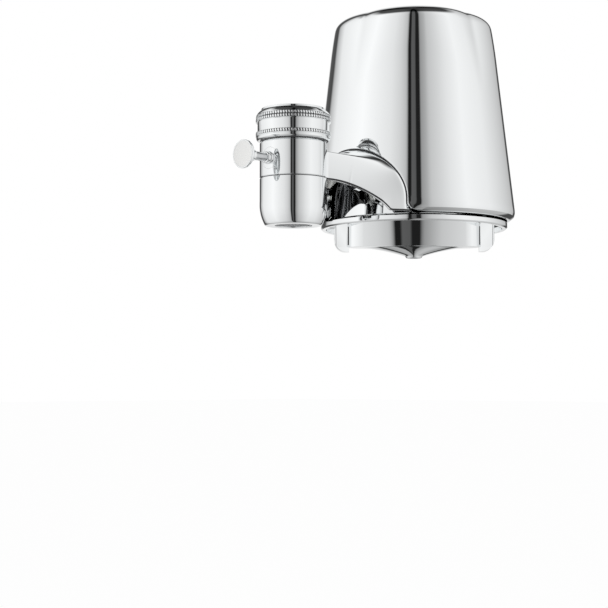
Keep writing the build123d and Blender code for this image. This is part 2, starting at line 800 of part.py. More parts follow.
def vessel_profile(inset, bottom_z):
    """Tapered round form of the filter body with a rounded top."""
    top_z = vessel_top_z - inset
    corner = vessel_corner_radius - inset
    low = vessel_bottom_radius - inset - (bottom_z - cover_rim_z) * vessel_taper
    high = vessel_bottom_radius - inset - (top_z - corner - cover_rim_z) * vessel_taper
    diagonal = corner * (1 - sqrt(0.5))
    edges = [
        Line((0, 0, bottom_z), (low, 0, bottom_z)),
        Line((low, 0, bottom_z), (high, 0, top_z - corner)),
        ThreePointArc(
            (high, 0, top_z - corner),
            (high - diagonal, 0, top_z - diagonal),
            (high - corner, 0, top_z),
        ),
        Line((high - corner, 0, top_z), (0, 0, top_z)),
        Line((0, 0, top_z), (0, 0, bottom_z)),
    ]
    return revolve(make_face(edges), Axis.Z)


def filter_body():
    """Pressure body with ribs for the cover, the feed socket, screw lugs and twist channels."""
    mouth_top_z = cover_rim_z + mouth_height
    rib_bottom_z = cover_rim_z + rib_bottom_gap
    rib_tip_radius = cover_wide_radius - cover_wall - flat_gap
    shape = vessel_profile(0, cover_rim_z)
    rib_room = turned(
        [
            (0, rib_bottom_z),
            (slope(rib_tip_radius, cover_wide_z, cover_slope_angle, rib_bottom_z), rib_bottom_z),
            (slope(rib_tip_radius, cover_wide_z, cover_slope_angle, rib_top_z), rib_top_z),
            (0, rib_top_z),
        ]
    )
    rib_reach = 2 * (cover_wide_radius - vessel_top_radius)
    rib = Pos(cover_wide_radius, 0, 0) * Box(rib_reach, rib_width, 2 * vessel_top_z)
    for angle in rib_angles:
        shape += Rot(0, 0, angle) * rib & rib_room
    shape = filter_axis * shape
    lug_end_x = filter_x - vessel_top_radius
    lug_middle = (screw_x - screw_boss_radius + lug_end_x) / 2
    lug_length = lug_end_x - (screw_x - screw_boss_radius)
    lug_z = screw_lug_top_z - screw_lug_thickness / 2
    lug = Pos(lug_middle, 0, lug_z) * Box(lug_length, 2 * screw_boss_radius, screw_lug_thickness)
    for side in (-1, 1):
        shape += Pos(0, side * screw_y, 0) * lug
    shape += rod_x(port_boss_radius, feed_end_x - port_boss_depth, lug_end_x, port_axis)
    cavity = vessel_profile(vessel_wall, mouth_top_z - flat_gap)
    cavity += rod(mouth_radius, cover_rim_z - vessel_wall, mouth_top_z)
    shape -= filter_axis * cavity
    shape -= rod_x(feed_radius + run_gap, feed_end_x - 2 * port_boss_depth, feed_end_x + run_gap, port_axis)
    shape -= rod_x(feed_bore_radius, feed_end_x, filter_x - block_radius, port_axis)
    for side in (-1, 1):
        hole = Cylinder(screw_radius + flat_gap, 4 * screw_lug_thickness)
        shape -= Pos(screw_x, side * screw_y, screw_lug_top_z) * hole
    for index in range(lug_count):
        shape -= filter_axis * (Rot(0, 0, 360 / lug_count * index) * twist_channel())
    return shape


def arc_block(inner, outer, bottom, top, start, sweep_angle):
    """Block between two radii over an arc that starts at an angle."""
    corners = ((inner, 0, bottom), (outer, 0, bottom), (outer, 0, top), (inner, 0, top))
    face = make_face(Polyline(*corners, close=True))
    return Rot(0, 0, start) * revolve(face, Axis.Z, sweep_angle)


def twist_channel():
    """Room in the filter body's mouth for one lug of the cap to turn and drop out."""
    outer = plug_radius + lug_reach + part_gap
    bottom = lug_bottom_z - part_gap
    top = lug_bottom_z + lug_height + part_gap
    inner = plug_radius - plug_wall
    width = lug_arc + 2 * lug_play
    travel = arc_block(inner, outer, bottom, top, -lug_play, width + twist_range)
    entry = arc_block(inner, outer, cover_rim_z - vessel_wall, top, twist_range - lug_play, width)
    return travel + entry


def grip_outline(wall):
    """Plan of the grip bar: crowned long sides and pointed ends, drawn in by a wall."""
    end_x = tab_inner_radius - wall
    side_x = end_x - grip_end_length
    side_y = grip_end_half_width - wall
    point_y = max(grip_point_half_width - wall, flat_gap)
    edges = [
        ThreePointArc((-side_x, side_y), (0, grip_half_width - wall), (side_x, side_y)),
        Polyline((side_x, side_y), (end_x, point_y), (end_x, -point_y), (side_x, -side_y)),
        ThreePointArc((side_x, -side_y), (0, wall - grip_half_width), (-side_x, -side_y)),
        Polyline((-side_x, -side_y), (-end_x, -point_y), (-end_x, point_y), (-side_x, side_y)),
    ]
    return make_face(edges)


def grip_bar():
    """Grip bar whose underside runs down in a hollow keel to the outlet."""
    bar = Pos(0, 0, grip_bottom_z) * extrude(grip_outline(0), cap_top_z - cap_edge - grip_bottom_z)
    sections = [Pos(0, 0, grip_bottom_z) * Ellipse(*keel_start)]
    for length, width, height in keel_steps:
        sections.append(Pos(0, 0, height) * Ellipse(length, width))
    tip_top_z = keel_steps[-1][2]
    tip = turned([(0, tip_z), (tip_radius - tip_edge, tip_z), (tip_radius, tip_top_z), (0, tip_top_z)])
    return bar + loft(sections) + tip


def grip_tab():
    """Tab beyond one end of the bar: wide outside, narrow at the bar, its outer foot rounded."""
    top_z = cap_top_z - cap_edge
    plan = Polyline(
        (tab_inner_radius, -tab_root_half_width),
        (tab_outer_radius, -tab_half_width),
        (tab_outer_radius, tab_half_width),
        (tab_inner_radius, tab_root_half_width),
        close=True,
    )
    tab = Pos(0, 0, tab_bottom_z) * extrude(make_face(plan), top_z - tab_bottom_z)
    outer_edges = tab.edges().filter_by(Axis.Z).sort_by(Axis.X)[-2:]
    tab = fillet(outer_edges, tab_edge)
    diagonal = tab_corner * (1 - sqrt(0.5))
    side = [
        Polyline(
            (tab_outer_radius - tab_corner, 0, tab_bottom_z),
            (tab_inner_radius, 0, tab_bottom_z),
            (tab_inner_radius, 0, top_z),
            (tab_outer_radius, 0, top_z),
            (tab_outer_radius, 0, tab_bottom_z + tab_corner),
        ),
        ThreePointArc(
            (tab_outer_radius, 0, tab_bottom_z + tab_corner),
            (tab_outer_radius - diagonal, 0, tab_bottom_z + diagonal),
            (tab_outer_radius - tab_corner, 0, tab_bottom_z),
        ),
    ]
    return tab & extrude(make_face(side), tab_half_width, both=True)


def bottom_cap():
    """Moulded twist cap: skirted plate, plug with lugs, grip bar, two tabs and outlet hub."""
    ceiling_z = cap_bottom_z + skirt_depth
    skirt_radius = cap_radius - skirt_wall
    plate = turned(
        [
            (0, ceiling_z),
            (skirt_radius, ceiling_z),
            (skirt_radius, cap_bottom_z),
            (cap_radius - cap_edge, cap_bottom_z),
            (cap_radius, cap_bottom_z + cap_edge),
            (cap_radius, cap_top_z - cap_edge),
            (cap_radius - cap_edge, cap_top_z),
            (0, cap_top_z),
        ]
    )
    shape = plate + ring(plug_radius, plug_radius - plug_wall, cap_top_z, cap_top_z + plug_height)
    groove_z = cap_top_z + plug_height - cap_groove_inset
    groove_radius = plug_radius - cap_groove_depth
    shape -= ring(plug_radius + plug_wall, groove_radius, groove_z, groove_z + cap_groove_width)
    lug = arc_block(
        plug_radius - plug_wall / 2,
        plug_radius + lug_reach,
        lug_bottom_z,
        lug_bottom_z + lug_height,
        0,
        lug_arc,
    )
    for index in range(lug_count):
        shape += Rot(0, 0, 360 / lug_count * index) * lug
    grip = grip_bar()
    for turn in (0, 180):
        grip += Rot(0, 0, turn) * grip_tab()
    shape += Rot(0, 0, grip_angle) * grip
    pocket_floor_z = grip_bottom_z + grip_wall
    pocket = Pos(0, 0, pocket_floor_z) * extrude(grip_outline(grip_wall), cap_top_z - pocket_floor_z)
    pocket -= rod(outlet_spigot_radius, tip_z, cap_top_z)
    shape -= Rot(0, 0, grip_angle) * pocket
    shape += rod(outlet_hub_radius, cap_top_z - skirt_depth / 2, hub_top_z)
    shape -= rod(outlet_spigot_radius + run_gap, spigot_tip_z - flat_gap, hub_top_z + flat_gap)
    shape -= rod(nozzle_bore_radius, tip_z - flat_gap, spigot_tip_z)
    shape -= rod(nozzle_radius + run_gap, tip_z - flat_gap, tip_z + nozzle_length)
    return filter_axis * shape


def cap_o_ring():
    """Large seal between the cap's plug and the filter body."""
    height = cap_top_z + plug_height - cap_groove_inset + cap_groove_width / 2
    middle_radius = plug_radius - cap_groove_depth + run_gap + cap_ring_radius
    return filter_axis * o_ring(middle_radius, cap_ring_radius, height)


def outlet_nozzle():
    """Short outlet bush in the tip of the cap."""
    shape = ring(nozzle_radius, nozzle_bore_radius, tip_z, tip_z + nozzle_length - flat_gap)
    lip = ring(nozzle_radius, nozzle_bore_radius - nozzle_lip, tip_z, tip_z + nozzle_lip_height)
    return filter_axis * (shape + lip)


def cartridge_bottom_cap():
    """Lower end cap of the cartridge with its outlet spigot."""
    plate_z = block_bottom_z - end_cap_plate
    shape = rod(end_cap_radius, plate_z, block_bottom_z)
    rim_top_z = block_bottom_z + end_cap_height - end_cap_plate
    shape += ring(end_cap_radius, wrap_radius + run_gap, block_bottom_z, rim_top_z)
    shape += rod(outlet_spigot_radius, spigot_tip_z, plate_z)
    bore_radius = outlet_spigot_radius - outlet_spigot_wall
    return filter_axis * (shape - rod(bore_radius, spigot_tip_z - flat_gap, block_bottom_z + flat_gap))


def cartridge_top_cap():
    """Closed upper end cap of the cartridge."""
    shape = rod(end_cap_radius, block_top_z, block_top_z + end_cap_plate)
    rim_bottom_z = block_top_z - end_cap_height + end_cap_plate
    shape += ring(end_cap_radius, wrap_radius + run_gap, rim_bottom_z, block_top_z)
    return filter_axis * shape


def carbon_block():
    """Moulded tube of filter carbon."""
    return filter_axis * ring(block_radius, block_bore_radius, block_bottom_z, block_top_z)


def prefilter_wrap():
    """Soft sediment wrap round the carbon block."""
    return filter_axis * ring(wrap_radius, block_radius + run_gap, block_bottom_z, block_top_z)


def centre_tube():
    """Slotted core tube that gathers the filtered water."""
    outer = block_bore_radius - run_gap
    shape = ring(outer, outer - tube_wall, block_bottom_z, block_top_z)
    spacing = (block_top_z - block_bottom_z) / tube_slot_rows
    for row in range(tube_slot_rows):
        height = block_bottom_z + spacing * (row + 0.5)
        slot = Pos(0, 0, height) * Box(4 * outer, tube_slot_width, tube_slot_height)
        shape -= Rot(0, 0, 90 * (row % 2)) * slot
    return filter_axis * shape


def write(name, shape):
    """Writes one node's solids to its STEP file."""
    solids = shape if isinstance(shape, list) else [shape]
    solids = [solid for item in solids for solid in item.solids()]
    node = solids[0] if len(solids) == 1 else Compound(children=solids)
    node.label = name
    export_step(node, f"parts/{name}.step")


nodes = {
    "swivel_collar": swivel_collar,
    "inlet_washer": inlet_washer,
    "inlet_screen": inlet_screen,
    "inlet_nipple": inlet_nipple,
    "nipple_o_ring": nipple_o_ring,
    "diverter_body": diverter_body,
    "cup_o_ring": cup_o_ring,
    "outlet_cup": outlet_cup,
    "aerator_insert": aerator_insert,
    "pull_knob": pull_knob,
    "valve_stem": valve_stem,
    "stem_o_rings": stem_o_rings,
    "valve_disc": valve_disc,
    "gland_bushing": gland_bushing,
    "gland_o_ring": gland_o_ring,
    "return_spring": return_spring,
    "union_nut": union_nut,
    "feed_tube": feed_tube,
    "arm_shell": arm_shell,
    "arm_screws": arm_screws,
    "outer_cover": outer_cover,
    "filter_body": filter_body,
    "bottom_cap": bottom_cap,
    "cap_o_ring": cap_o_ring,
    "outlet_nozzle": outlet_nozzle,
    "cartridge_bottom_cap": cartridge_bottom_cap,
    "cartridge_top_cap": cartridge_top_cap,
    "carbon_block": carbon_block,
    "prefilter_wrap": prefilter_wrap,
    "centre_tube": centre_tube,
}

os.makedirs("parts", exist_ok=True)
for node_name, make_node in nodes.items():
    write(node_name, make_node())
    print("built", node_name)
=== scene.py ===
import bpy, bmesh
from math import atan2, cos, hypot, pi, radians, sin, sqrt, tan
from mathutils import Matrix, Vector


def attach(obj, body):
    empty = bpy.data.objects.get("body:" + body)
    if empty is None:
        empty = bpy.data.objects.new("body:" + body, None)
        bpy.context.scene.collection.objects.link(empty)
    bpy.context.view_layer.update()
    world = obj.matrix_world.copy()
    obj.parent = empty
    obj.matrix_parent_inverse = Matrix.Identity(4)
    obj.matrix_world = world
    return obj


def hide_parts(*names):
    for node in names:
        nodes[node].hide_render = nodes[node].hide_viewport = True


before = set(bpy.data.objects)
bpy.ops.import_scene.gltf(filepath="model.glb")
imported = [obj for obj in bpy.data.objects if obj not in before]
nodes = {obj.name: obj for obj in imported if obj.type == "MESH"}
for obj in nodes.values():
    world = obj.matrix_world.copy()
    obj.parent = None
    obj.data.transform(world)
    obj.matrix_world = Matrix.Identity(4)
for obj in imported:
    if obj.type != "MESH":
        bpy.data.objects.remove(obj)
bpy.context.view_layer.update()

scene = bpy.context.scene
mm = 0.001
print("frame loaded:", len(nodes), "nodes")


# small helpers that make and join meshes, in millimetres

def link(obj):
    scene.collection.objects.link(obj)
    return obj


def meshObject(name, verts, faces, sharpAngle=32):
    # coordinates in millimetres; closed meshes get outward normals
    mesh = bpy.data.meshes.new(name)
    bm = bmesh.new()
    made = [bm.verts.new(Vector(v) * mm) for v in verts]
    for face in faces:
        corners = [made[i] for i in face]
        if len(set(corners)) > 2:
            bm.faces.new(corners)
    return finishMesh(name, mesh, bm, sharpAngle)


def finishMesh(name, mesh, bm, sharpAngle):
    # merged, turned outwards, smooth up to an angle
    bmesh.ops.remove_doubles(bm, verts=bm.verts, dist=1e-6)
    bmesh.ops.dissolve_degenerate(bm, edges=bm.edges, dist=1e-7)
    bmesh.ops.recalc_face_normals(bm, faces=bm.faces)
    bm.to_mesh(mesh)
    bm.free()
    mesh.shade_smooth()
    mesh.set_sharp_from_angle(angle=radians(sharpAngle))
    return link(bpy.data.objects.new(name, mesh))


def roundedLoop(points, radius, steps):
    # closed outline of (r, z) or (r, z, own radius) points with every corner rounded
    mostOfSide, nearlyFlat = 0.45, radians(86)
    out = []
    count = len(points)
    for i in range(count):
        here = Vector(points[i][:2])
        before = Vector(points[i - 1][:2])
        after = Vector(points[(i + 1) % count][:2])
        own = points[i][2] if len(points[i]) > 2 else radius
        toBefore = before - here
        toAfter = after - here
        half = toBefore.angle(toAfter, pi) / 2
        if own <= 0 or half > nearlyFlat or here.x < 1e-6:
            out.append(tuple(here))
            continue
        reach = min(own / tan(half), toBefore.length * mostOfSide, toAfter.length * mostOfSide)
        own = reach * tan(half)
        first = here + toBefore.normalized() * reach
        last = here + toAfter.normalized() * reach
        centre = here + (toBefore.normalized() + toAfter.normalized()).normalized() * (own / sin(half))
        a = atan2(first.y - centre.y, first.x - centre.x)
        turn = atan2(last.y - centre.y, last.x - centre.x) - a
        turn = (turn + pi) % (2 * pi) - pi
        for step in range(steps + 1):
            angle = a + turn * step / steps
            out.append((centre.x + own * cos(angle), centre.y + own * sin(angle)))
    return out


def circleThrough(first, second, third):
    # middle and radius of the circle through three points
    (ax, ay), (bx, by), (cx, cy) = first, second, third
    d = 2 * (ax * (by - cy) + bx * (cy - ay) + cx * (ay - by))
    ux = ((ax**2 + ay**2) * (by - cy) + (bx**2 + by**2) * (cy - ay) + (cx**2 + cy**2) * (ay - by)) / d
    uy = ((ax**2 + ay**2) * (cx - bx) + (bx**2 + by**2) * (ax - cx) + (cx**2 + cy**2) * (bx - ax)) / d
    return ux, uy, hypot(ax - ux, ay - uy)


def arcPoints(start, through, end, steps):
    # points on the arc through three (r, z) points, ends included, corners not rounded again
    ux, uy, r = circleThrough(start, through, end)
    a0 = atan2(start[1] - uy, start[0] - ux)
    turn = (atan2(end[1] - uy, end[0] - ux) - a0 + pi) % (2 * pi) - pi
    middle = (atan2(through[1] - uy, through[0] - ux) - a0 + pi) % (2 * pi) - pi
    if middle * turn < 0:
        turn -= 2 * pi * (1 if turn > 0 else -1)
    return [(ux + r * cos(a0 + turn * i / steps), uy + r * sin(a0 + turn * i / steps), 0) for i in range(steps + 1)]


def gridFaces(rowCount, count, rowsMeet, endsMeet):
    # faces between rows of points; the last row may meet the first, and each row's end its start
    faces = []
    for i in range(rowCount if rowsMeet else rowCount - 1):
        j = (i + 1) % rowCount
        for k in range(count if endsMeet else count - 1):
            m = (k + 1) % count
            faces.append((i * count + k, j * count + k, j * count + m, i * count + m))
    return faces


def turnedObject(name, loop, place=None, segments=160):
    # closed (radius, height) outline turned about Z, then set on its axis
    place = place or Matrix.Identity(4)
    verts = []
    for i in range(segments):
        angle = 2 * pi * i / segments
        for radius, height in loop:
            verts.append(place @ Vector((radius * cos(angle), radius * sin(angle), height)))
    return meshObject(name, verts, gridFaces(segments, len(loop), True, True))


def joinedObject(name, meshes, sharpAngle):
    # one object of several plain meshes, doubles merged
    bm = bmesh.new()
    for mesh in meshes:
        bm.from_mesh(mesh)
    return finishMesh(name, bpy.data.meshes.new(name), bm, sharpAngle)


def joinObjects(name, objects, sharpAngle):
    # one object of several finished ones, which it takes the place of
    bm = bmesh.new()
    for obj in objects:
        bm.from_mesh(obj.data)
        bpy.data.objects.remove(obj)
    mesh = bpy.data.meshes.new(name)
    bm.to_mesh(mesh)
    bm.free()
    mesh.shade_smooth()
    mesh.set_sharp_from_angle(angle=radians(sharpAngle))
    return link(bpy.data.objects.new(name, mesh))


def tubeObject(name, rings, sharpAngle):
    # closed bar through rings of points, with two flat ends
    count = len(rings[0])
    faces = gridFaces(len(rings), count, False, True)
    for base in (0, (len(rings) - 1) * count):
        for k in range(count // 2 - 1):
            faces.append((base + k, base + k + 1, base + count - 2 - k, base + count - 1 - k))
    return meshObject(name, [point for ring in rings for point in ring], faces, sharpAngle)


def finishPiece(obj, body, material, slot, *replaced):
    # material and body of a finished piece, and the nodes that it stands for; its slot is not used
    obj.data.materials.clear()
    obj.data.materials.append(material)
    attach(obj, body)
    if replaced:
        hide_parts(*replaced)


def treeInput(tree, label, kind, value=None):
    # named input of a node group
    socket = tree.interface.new_socket(label, in_out="INPUT", socket_type=kind)
    if value is not None:
        socket.default_value = value


def newNode(tree, kind, inputs=None, **settings):
    # one node with its settings and the values of its inputs
    node = tree.new(kind)
    for label, value in settings.items():
        setattr(node, label, value)
    for label, value in (inputs or {}).items():
        node.inputs[label].default_value = value
    return node


def wireNodes(wires, *joints):
    # wires, each from a node's output to a node's input
    for source, output, target, entry in joints:
        wires.new(source.outputs[output], target.inputs[entry])


def makeUnevenGroup():
    # slow and fine unevenness of a finish: a value between two ends, a mask and a height
    group = bpy.data.node_groups.new("unevenFinish", "ShaderNodeTree")
    for label, value in (("Scale", 60.0), ("Fine Scale", 900.0), ("Low", 0.03), ("High", 0.08)):
        treeInput(group, label, "NodeSocketFloat", value)
    treeInput(group, "Vector", "NodeSocketVector")
    for label in ("Value", "Mask", "Height"):
        group.interface.new_socket(label, in_out="OUTPUT", socket_type="NodeSocketFloat")
    tree = group.nodes
    wires = group.links
    inside = tree.new("NodeGroupInput")
    outside = tree.new("NodeGroupOutput")
    slow = newNode(tree, "ShaderNodeTexNoise", {"Detail": 3})
    fine = newNode(tree, "ShaderNodeTexNoise", {"Detail": 2})
    blend = newNode(tree, "ShaderNodeMath", operation="MULTIPLY")
    spread = newNode(tree, "ShaderNodeMapRange", {"From Min": 0.12, "From Max": 0.42})
    wireNodes(wires, (inside, "Vector", slow, "Vector"), (inside, "Vector", fine, "Vector"),
              (inside, "Scale", slow, "Scale"), (inside, "Fine Scale", fine, "Scale"), (slow, "Fac", blend, 0),
              (fine, "Fac", blend, 1), (blend, 0, spread, "Value"), (inside, "Low", spread, "To Min"),
              (inside, "High", spread, "To Max"), (spread, "Result", outside, "Value"),
              (blend, 0, outside, "Mask"), (fine, "Fac", outside, "Height"))
    return group


unevenGroup = makeUnevenGroup()


def finishMaterial(name, look):
    # one Principled material whose roughness, colour and relief come from the shared group
    material = bpy.data.materials.new(name)
    material.use_nodes = True
    tree = material.node_tree.nodes
    wires = material.node_tree.links
    shader = tree["Principled BSDF"]
    shader.inputs["Metallic"].default_value = look.get("metallic", 0)
    shader.inputs["Base Color"].default_value = (*look["colour"], 1)
    place = tree.new("ShaderNodeTexCoord")
    stretch = newNode(tree, "ShaderNodeMapping", {"Scale": look.get("stretch", (1, 1, 1))})
    uneven = tree.new("ShaderNodeGroup")
    uneven.node_tree = unevenGroup
    uneven.inputs["Scale"].default_value = look["scale"]
    uneven.inputs["Fine Scale"].default_value = look["fineScale"]
    uneven.inputs["Low"].default_value = look["roughness"][0]
    uneven.inputs["High"].default_value = look["roughness"][1]
    wireNodes(wires, (place, "Object", stretch, "Vector"), (stretch, "Vector", uneven, "Vector"),
              (uneven, "Value", shader, "Roughness"))
    if "secondColour" in look:
        mix = tree.new("ShaderNodeMix")
        mix.data_type = "RGBA"
        mix.inputs["A"].default_value = (*look["colour"], 1)
        mix.inputs["B"].default_value = (*look["secondColour"], 1)
        wireNodes(wires, (uneven, "Mask", mix, "Factor"), (mix, "Result", shader, "Base Color"))
    if look.get("relief"):
        bump = tree.new("ShaderNodeBump")
        bump.inputs["Strength"].default_value = 0.5
        bump.inputs["Distance"].default_value = look["relief"]
        wireNodes(wires, (uneven, "Height", bump, "Height"), (bump, "Normal", shader, "Normal"))
    return material


# finishes: colour, roughness from smoothest to roughest, size of the pattern and depth of the relief in metres
looks = {
    "chromeShell": {"colour": (0.90, 0.915, 0.92), "metallic": 1, "scale": 30, "fineScale": 400,
                    "roughness": (0.012, 0.04)},
    "chromeTurned": {"colour": (0.89, 0.905, 0.91), "metallic": 1, "scale": 60, "fineScale": 900,
                     "roughness": (0.012, 0.045), "stretch": (0.3, 0.3, 3)},
    "satinFace": {"colour": (0.80, 0.80, 0.79), "metallic": 1, "scale": 200, "fineScale": 2500,
                  "roughness": (0.26, 0.34), "relief": 0.000004},
    # painted shade: a dim dark metal for the shaded inside of the arm
    "insideShadeMetal": {"colour": (0.15, 0.15, 0.155), "metallic": 1, "scale": 90, "fineScale": 1200,
                   "roughness": (0.03, 0.05)},
    # painted shade: near-black for the gap round the mouth, the arm's lower edge and the grip's gaps
    "shadeBlack": {"colour": (0.022, 0.022, 0.024), "scale": 90, "fineScale": 1600, "roughness": (0.35, 0.5),
                   "relief": 0.00001},
    # painted shade: dark metal for the floors between the collar's teeth, under the collar and in the cup's seam
    "recessShade": {"colour": (0.14, 0.14, 0.145), "metallic": 1, "scale": 200, "fineScale": 2500,
                   "roughness": (0.35, 0.5)},
    "steelWire": {"colour": (0.62, 0.63, 0.64), "metallic": 1, "scale": 120, "fineScale": 1800,
                  "roughness": (0.18, 0.32)},
    "platedBrass": {"colour": (0.72, 0.72, 0.70), "secondColour": (0.76, 0.75, 0.71), "metallic": 1,
                    "scale": 90, "fineScale": 1200, "roughness": (0.12, 0.25)},
    "blackRubber": {"colour": (0.018, 0.018, 0.019), "secondColour": (0.03, 0.03, 0.03), "scale": 150,
                    "fineScale": 2200, "roughness": (0.5, 0.7), "relief": 0.00003},
    "whitePlastic": {"colour": (0.82, 0.82, 0.79), "secondColour": (0.78, 0.78, 0.75), "scale": 60,
                     "fineScale": 1500, "roughness": (0.35, 0.5), "relief": 0.00001},
    "greyPlastic": {"colour": (0.34, 0.345, 0.35), "secondColour": (0.40, 0.405, 0.41), "scale": 90,
                    "fineScale": 1600, "roughness": (0.3, 0.45), "relief": 0.00001},
    "carbonGrain": {"colour": (0.012, 0.012, 0.013), "secondColour": (0.05, 0.05, 0.052), "scale": 500,
                    "fineScale": 1400, "roughness": (0.6, 0.9), "relief": 0.0004},
    "filterFelt": {"colour": (0.80, 0.80, 0.76), "secondColour": (0.68, 0.68, 0.64), "scale": 350,
                   "fineScale": 3000, "roughness": (0.8, 0.95), "relief": 0.0003},
}
materials = {name: finishMaterial(name, look) for name, look in looks.items()}
print("materials made:", len(materials))

# the finish of each carried-over node
nodeFinish = {
    "swivel_collar": "chromeTurned", "diverter_body": "chromeTurned", "outlet_cup": "chromeTurned",
    "pull_knob": "chromeTurned", "gland_bushing": "chromeTurned", "arm_shell": "chromeShell",
    "outer_cover": "chromeShell", "filter_body": "chromeShell", "bottom_cap": "chromeShell",
    "inlet_screen": "steelWire", "valve_stem": "steelWire", "return_spring": "steelWire",
    "arm_screws": "steelWire", "inlet_nipple": "platedBrass", "union_nut": "platedBrass",
    "feed_tube": "platedBrass", "inlet_washer": "blackRubber", "nipple_o_ring": "blackRubber",
    "cup_o_ring": "blackRubber", "stem_o_rings": "blackRubber", "valve_disc": "blackRubber",
    "gland_o_ring": "blackRubber", "cap_o_ring": "blackRubber", "aerator_insert": "greyPlastic",
    "outlet_nozzle": "greyPlastic", "cartridge_bottom_cap": "whitePlastic",
    "cartridge_top_cap": "whitePlastic", "centre_tube": "whitePlastic", "carbon_block": "carbonGrain",
    "prefilter_wrap": "filterFelt",
}
for name, finish in nodeFinish.items():
    nodes[name].data.materials.clear()
    nodes[name].data.materials.append(materials[finish])


# the turned nut: a plain body with raised grip bands, fine leaning teeth and a real thread
collar = {
    "radius": 15.1, "bandRadius": 14.45, "waistRadius": 14.4, "topRadius": 12.9, "threadRoot": 11.95,
    "threadPitch": 0.941, "threadTurns": 8.2, "threadRidge": 0.42, "threadSteps": 56, "threadEndZ": -4.0,
    "reliefRadius": 12.3, "lipRadius": 10.2, "topZ": 4.5, "bottomZ": -8.8, "lipTopZ": -7.3,
    "shoulderMiddle": (14.35, 2.6), "shoulderEnd": (14.9, 1.72), "upperBand": (1.68, -0.78),
    "waist": (-1.05, -5.1), "lowerBand": (-5.38, -6.55), "beadStart": (14.78, -7.05), "beadMiddle": (14.85, -7.6),
    "beadEndRadius": 13.85,
    "footGap": 0.42, "footRadius": 13.3, "teethCount": 82, "toothDepth": 1.15, "shadeInner": 0.3, "shadeProud": 0.04,
    "rows": [
        {"z": 1.08, "radius": 14.44, "width": 0.86, "height": 1.28, "lean": 24, "tip": 12},
        {"z": -0.22, "radius": 14.54, "width": 0.88, "height": 1.16, "lean": 14, "tip": 0},
        {"z": -5.95, "radius": 14.54, "width": 0.88, "height": 1.3, "lean": 18, "tip": 0},
    ],
    "shadeBands": [(-0.72, 1.62), (-6.5, -5.4)],
}


def makeTeethTree():
    # a ring of small cushion-shaped teeth round Z
    tree = bpy.data.node_groups.new("toothRing", "GeometryNodeTree")
    tree.is_modifier = True
    treeInput(tree, "Count", "NodeSocketInt", 82)
    for label, value in (("Radius", 0.0147), ("Height", 0.0), ("Tooth Depth", 0.0006),
                         ("Tooth Width", 0.0007), ("Tooth Length", 0.001), ("Lean", 0.2), ("Tip", 0.0)):
        treeInput(tree, label, "NodeSocketFloat", value)
    treeInput(tree, "Material", "NodeSocketMaterial")
    tree.interface.new_socket("Geometry", in_out="OUTPUT", socket_type="NodeSocketGeometry")
    new = tree.nodes.new
    wires = tree.links
    given = new("NodeGroupInput")
    result = new("NodeGroupOutput")
    ringPoints = new("GeometryNodeMeshCircle")
    size = new("ShaderNodeCombineXYZ")
    block = new("GeometryNodeMeshCube")
    cushion = new("GeometryNodeSubdivisionSurface")
    cushion.inputs["Level"].default_value = 1
    cushion.inputs["Edge Crease"].default_value = 0.55
    turn = new("ShaderNodeCombineXYZ")
    leaned = new("GeometryNodeTransform")
    lift = new("ShaderNodeCombineXYZ")
    place = new("GeometryNodeInputPosition")
    outward = new("FunctionNodeAlignRotationToVector")
    outward.axis = "X"
    outward.pivot_axis = "Z"
    spread = new("GeometryNodeInstanceOnPoints")
    raised = new("GeometryNodeTransform")
    solid = new("GeometryNodeRealizeInstances")
    smooth = new("GeometryNodeSetShadeSmooth")
    finish = new("GeometryNodeSetMaterial")
    wireNodes(wires, (given, "Count", ringPoints, "Vertices"), (given, "Radius", ringPoints, "Radius"),
              (given, "Tooth Depth", size, "X"), (given, "Tooth Width", size, "Y"),
              (given, "Tooth Length", size, "Z"), (size, "Vector", block, "Size"),
              (block, "Mesh", cushion, "Mesh"), (given, "Lean", turn, "X"), (given, "Tip", turn, "Y"),
              (cushion, "Mesh", leaned, "Geometry"), (turn, "Vector", leaned, "Rotation"),
              (place, "Position", outward, "Vector"), (ringPoints, "Mesh", spread, "Points"),
              (leaned, "Geometry", spread, "Instance"), (outward, "Rotation", spread, "Rotation"),
              (given, "Height", lift, "Z"), (spread, "Instances", raised, "Geometry"),
              (lift, "Vector", raised, "Translation"), (raised, "Geometry", solid, "Geometry"),
              (solid, "Geometry", smooth, "Geometry"), (smooth, "Geometry", finish, "Geometry"),
              (given, "Material", finish, "Material"), (finish, "Geometry", result, "Geometry"))
    return tree


teethTree = makeTeethTree()


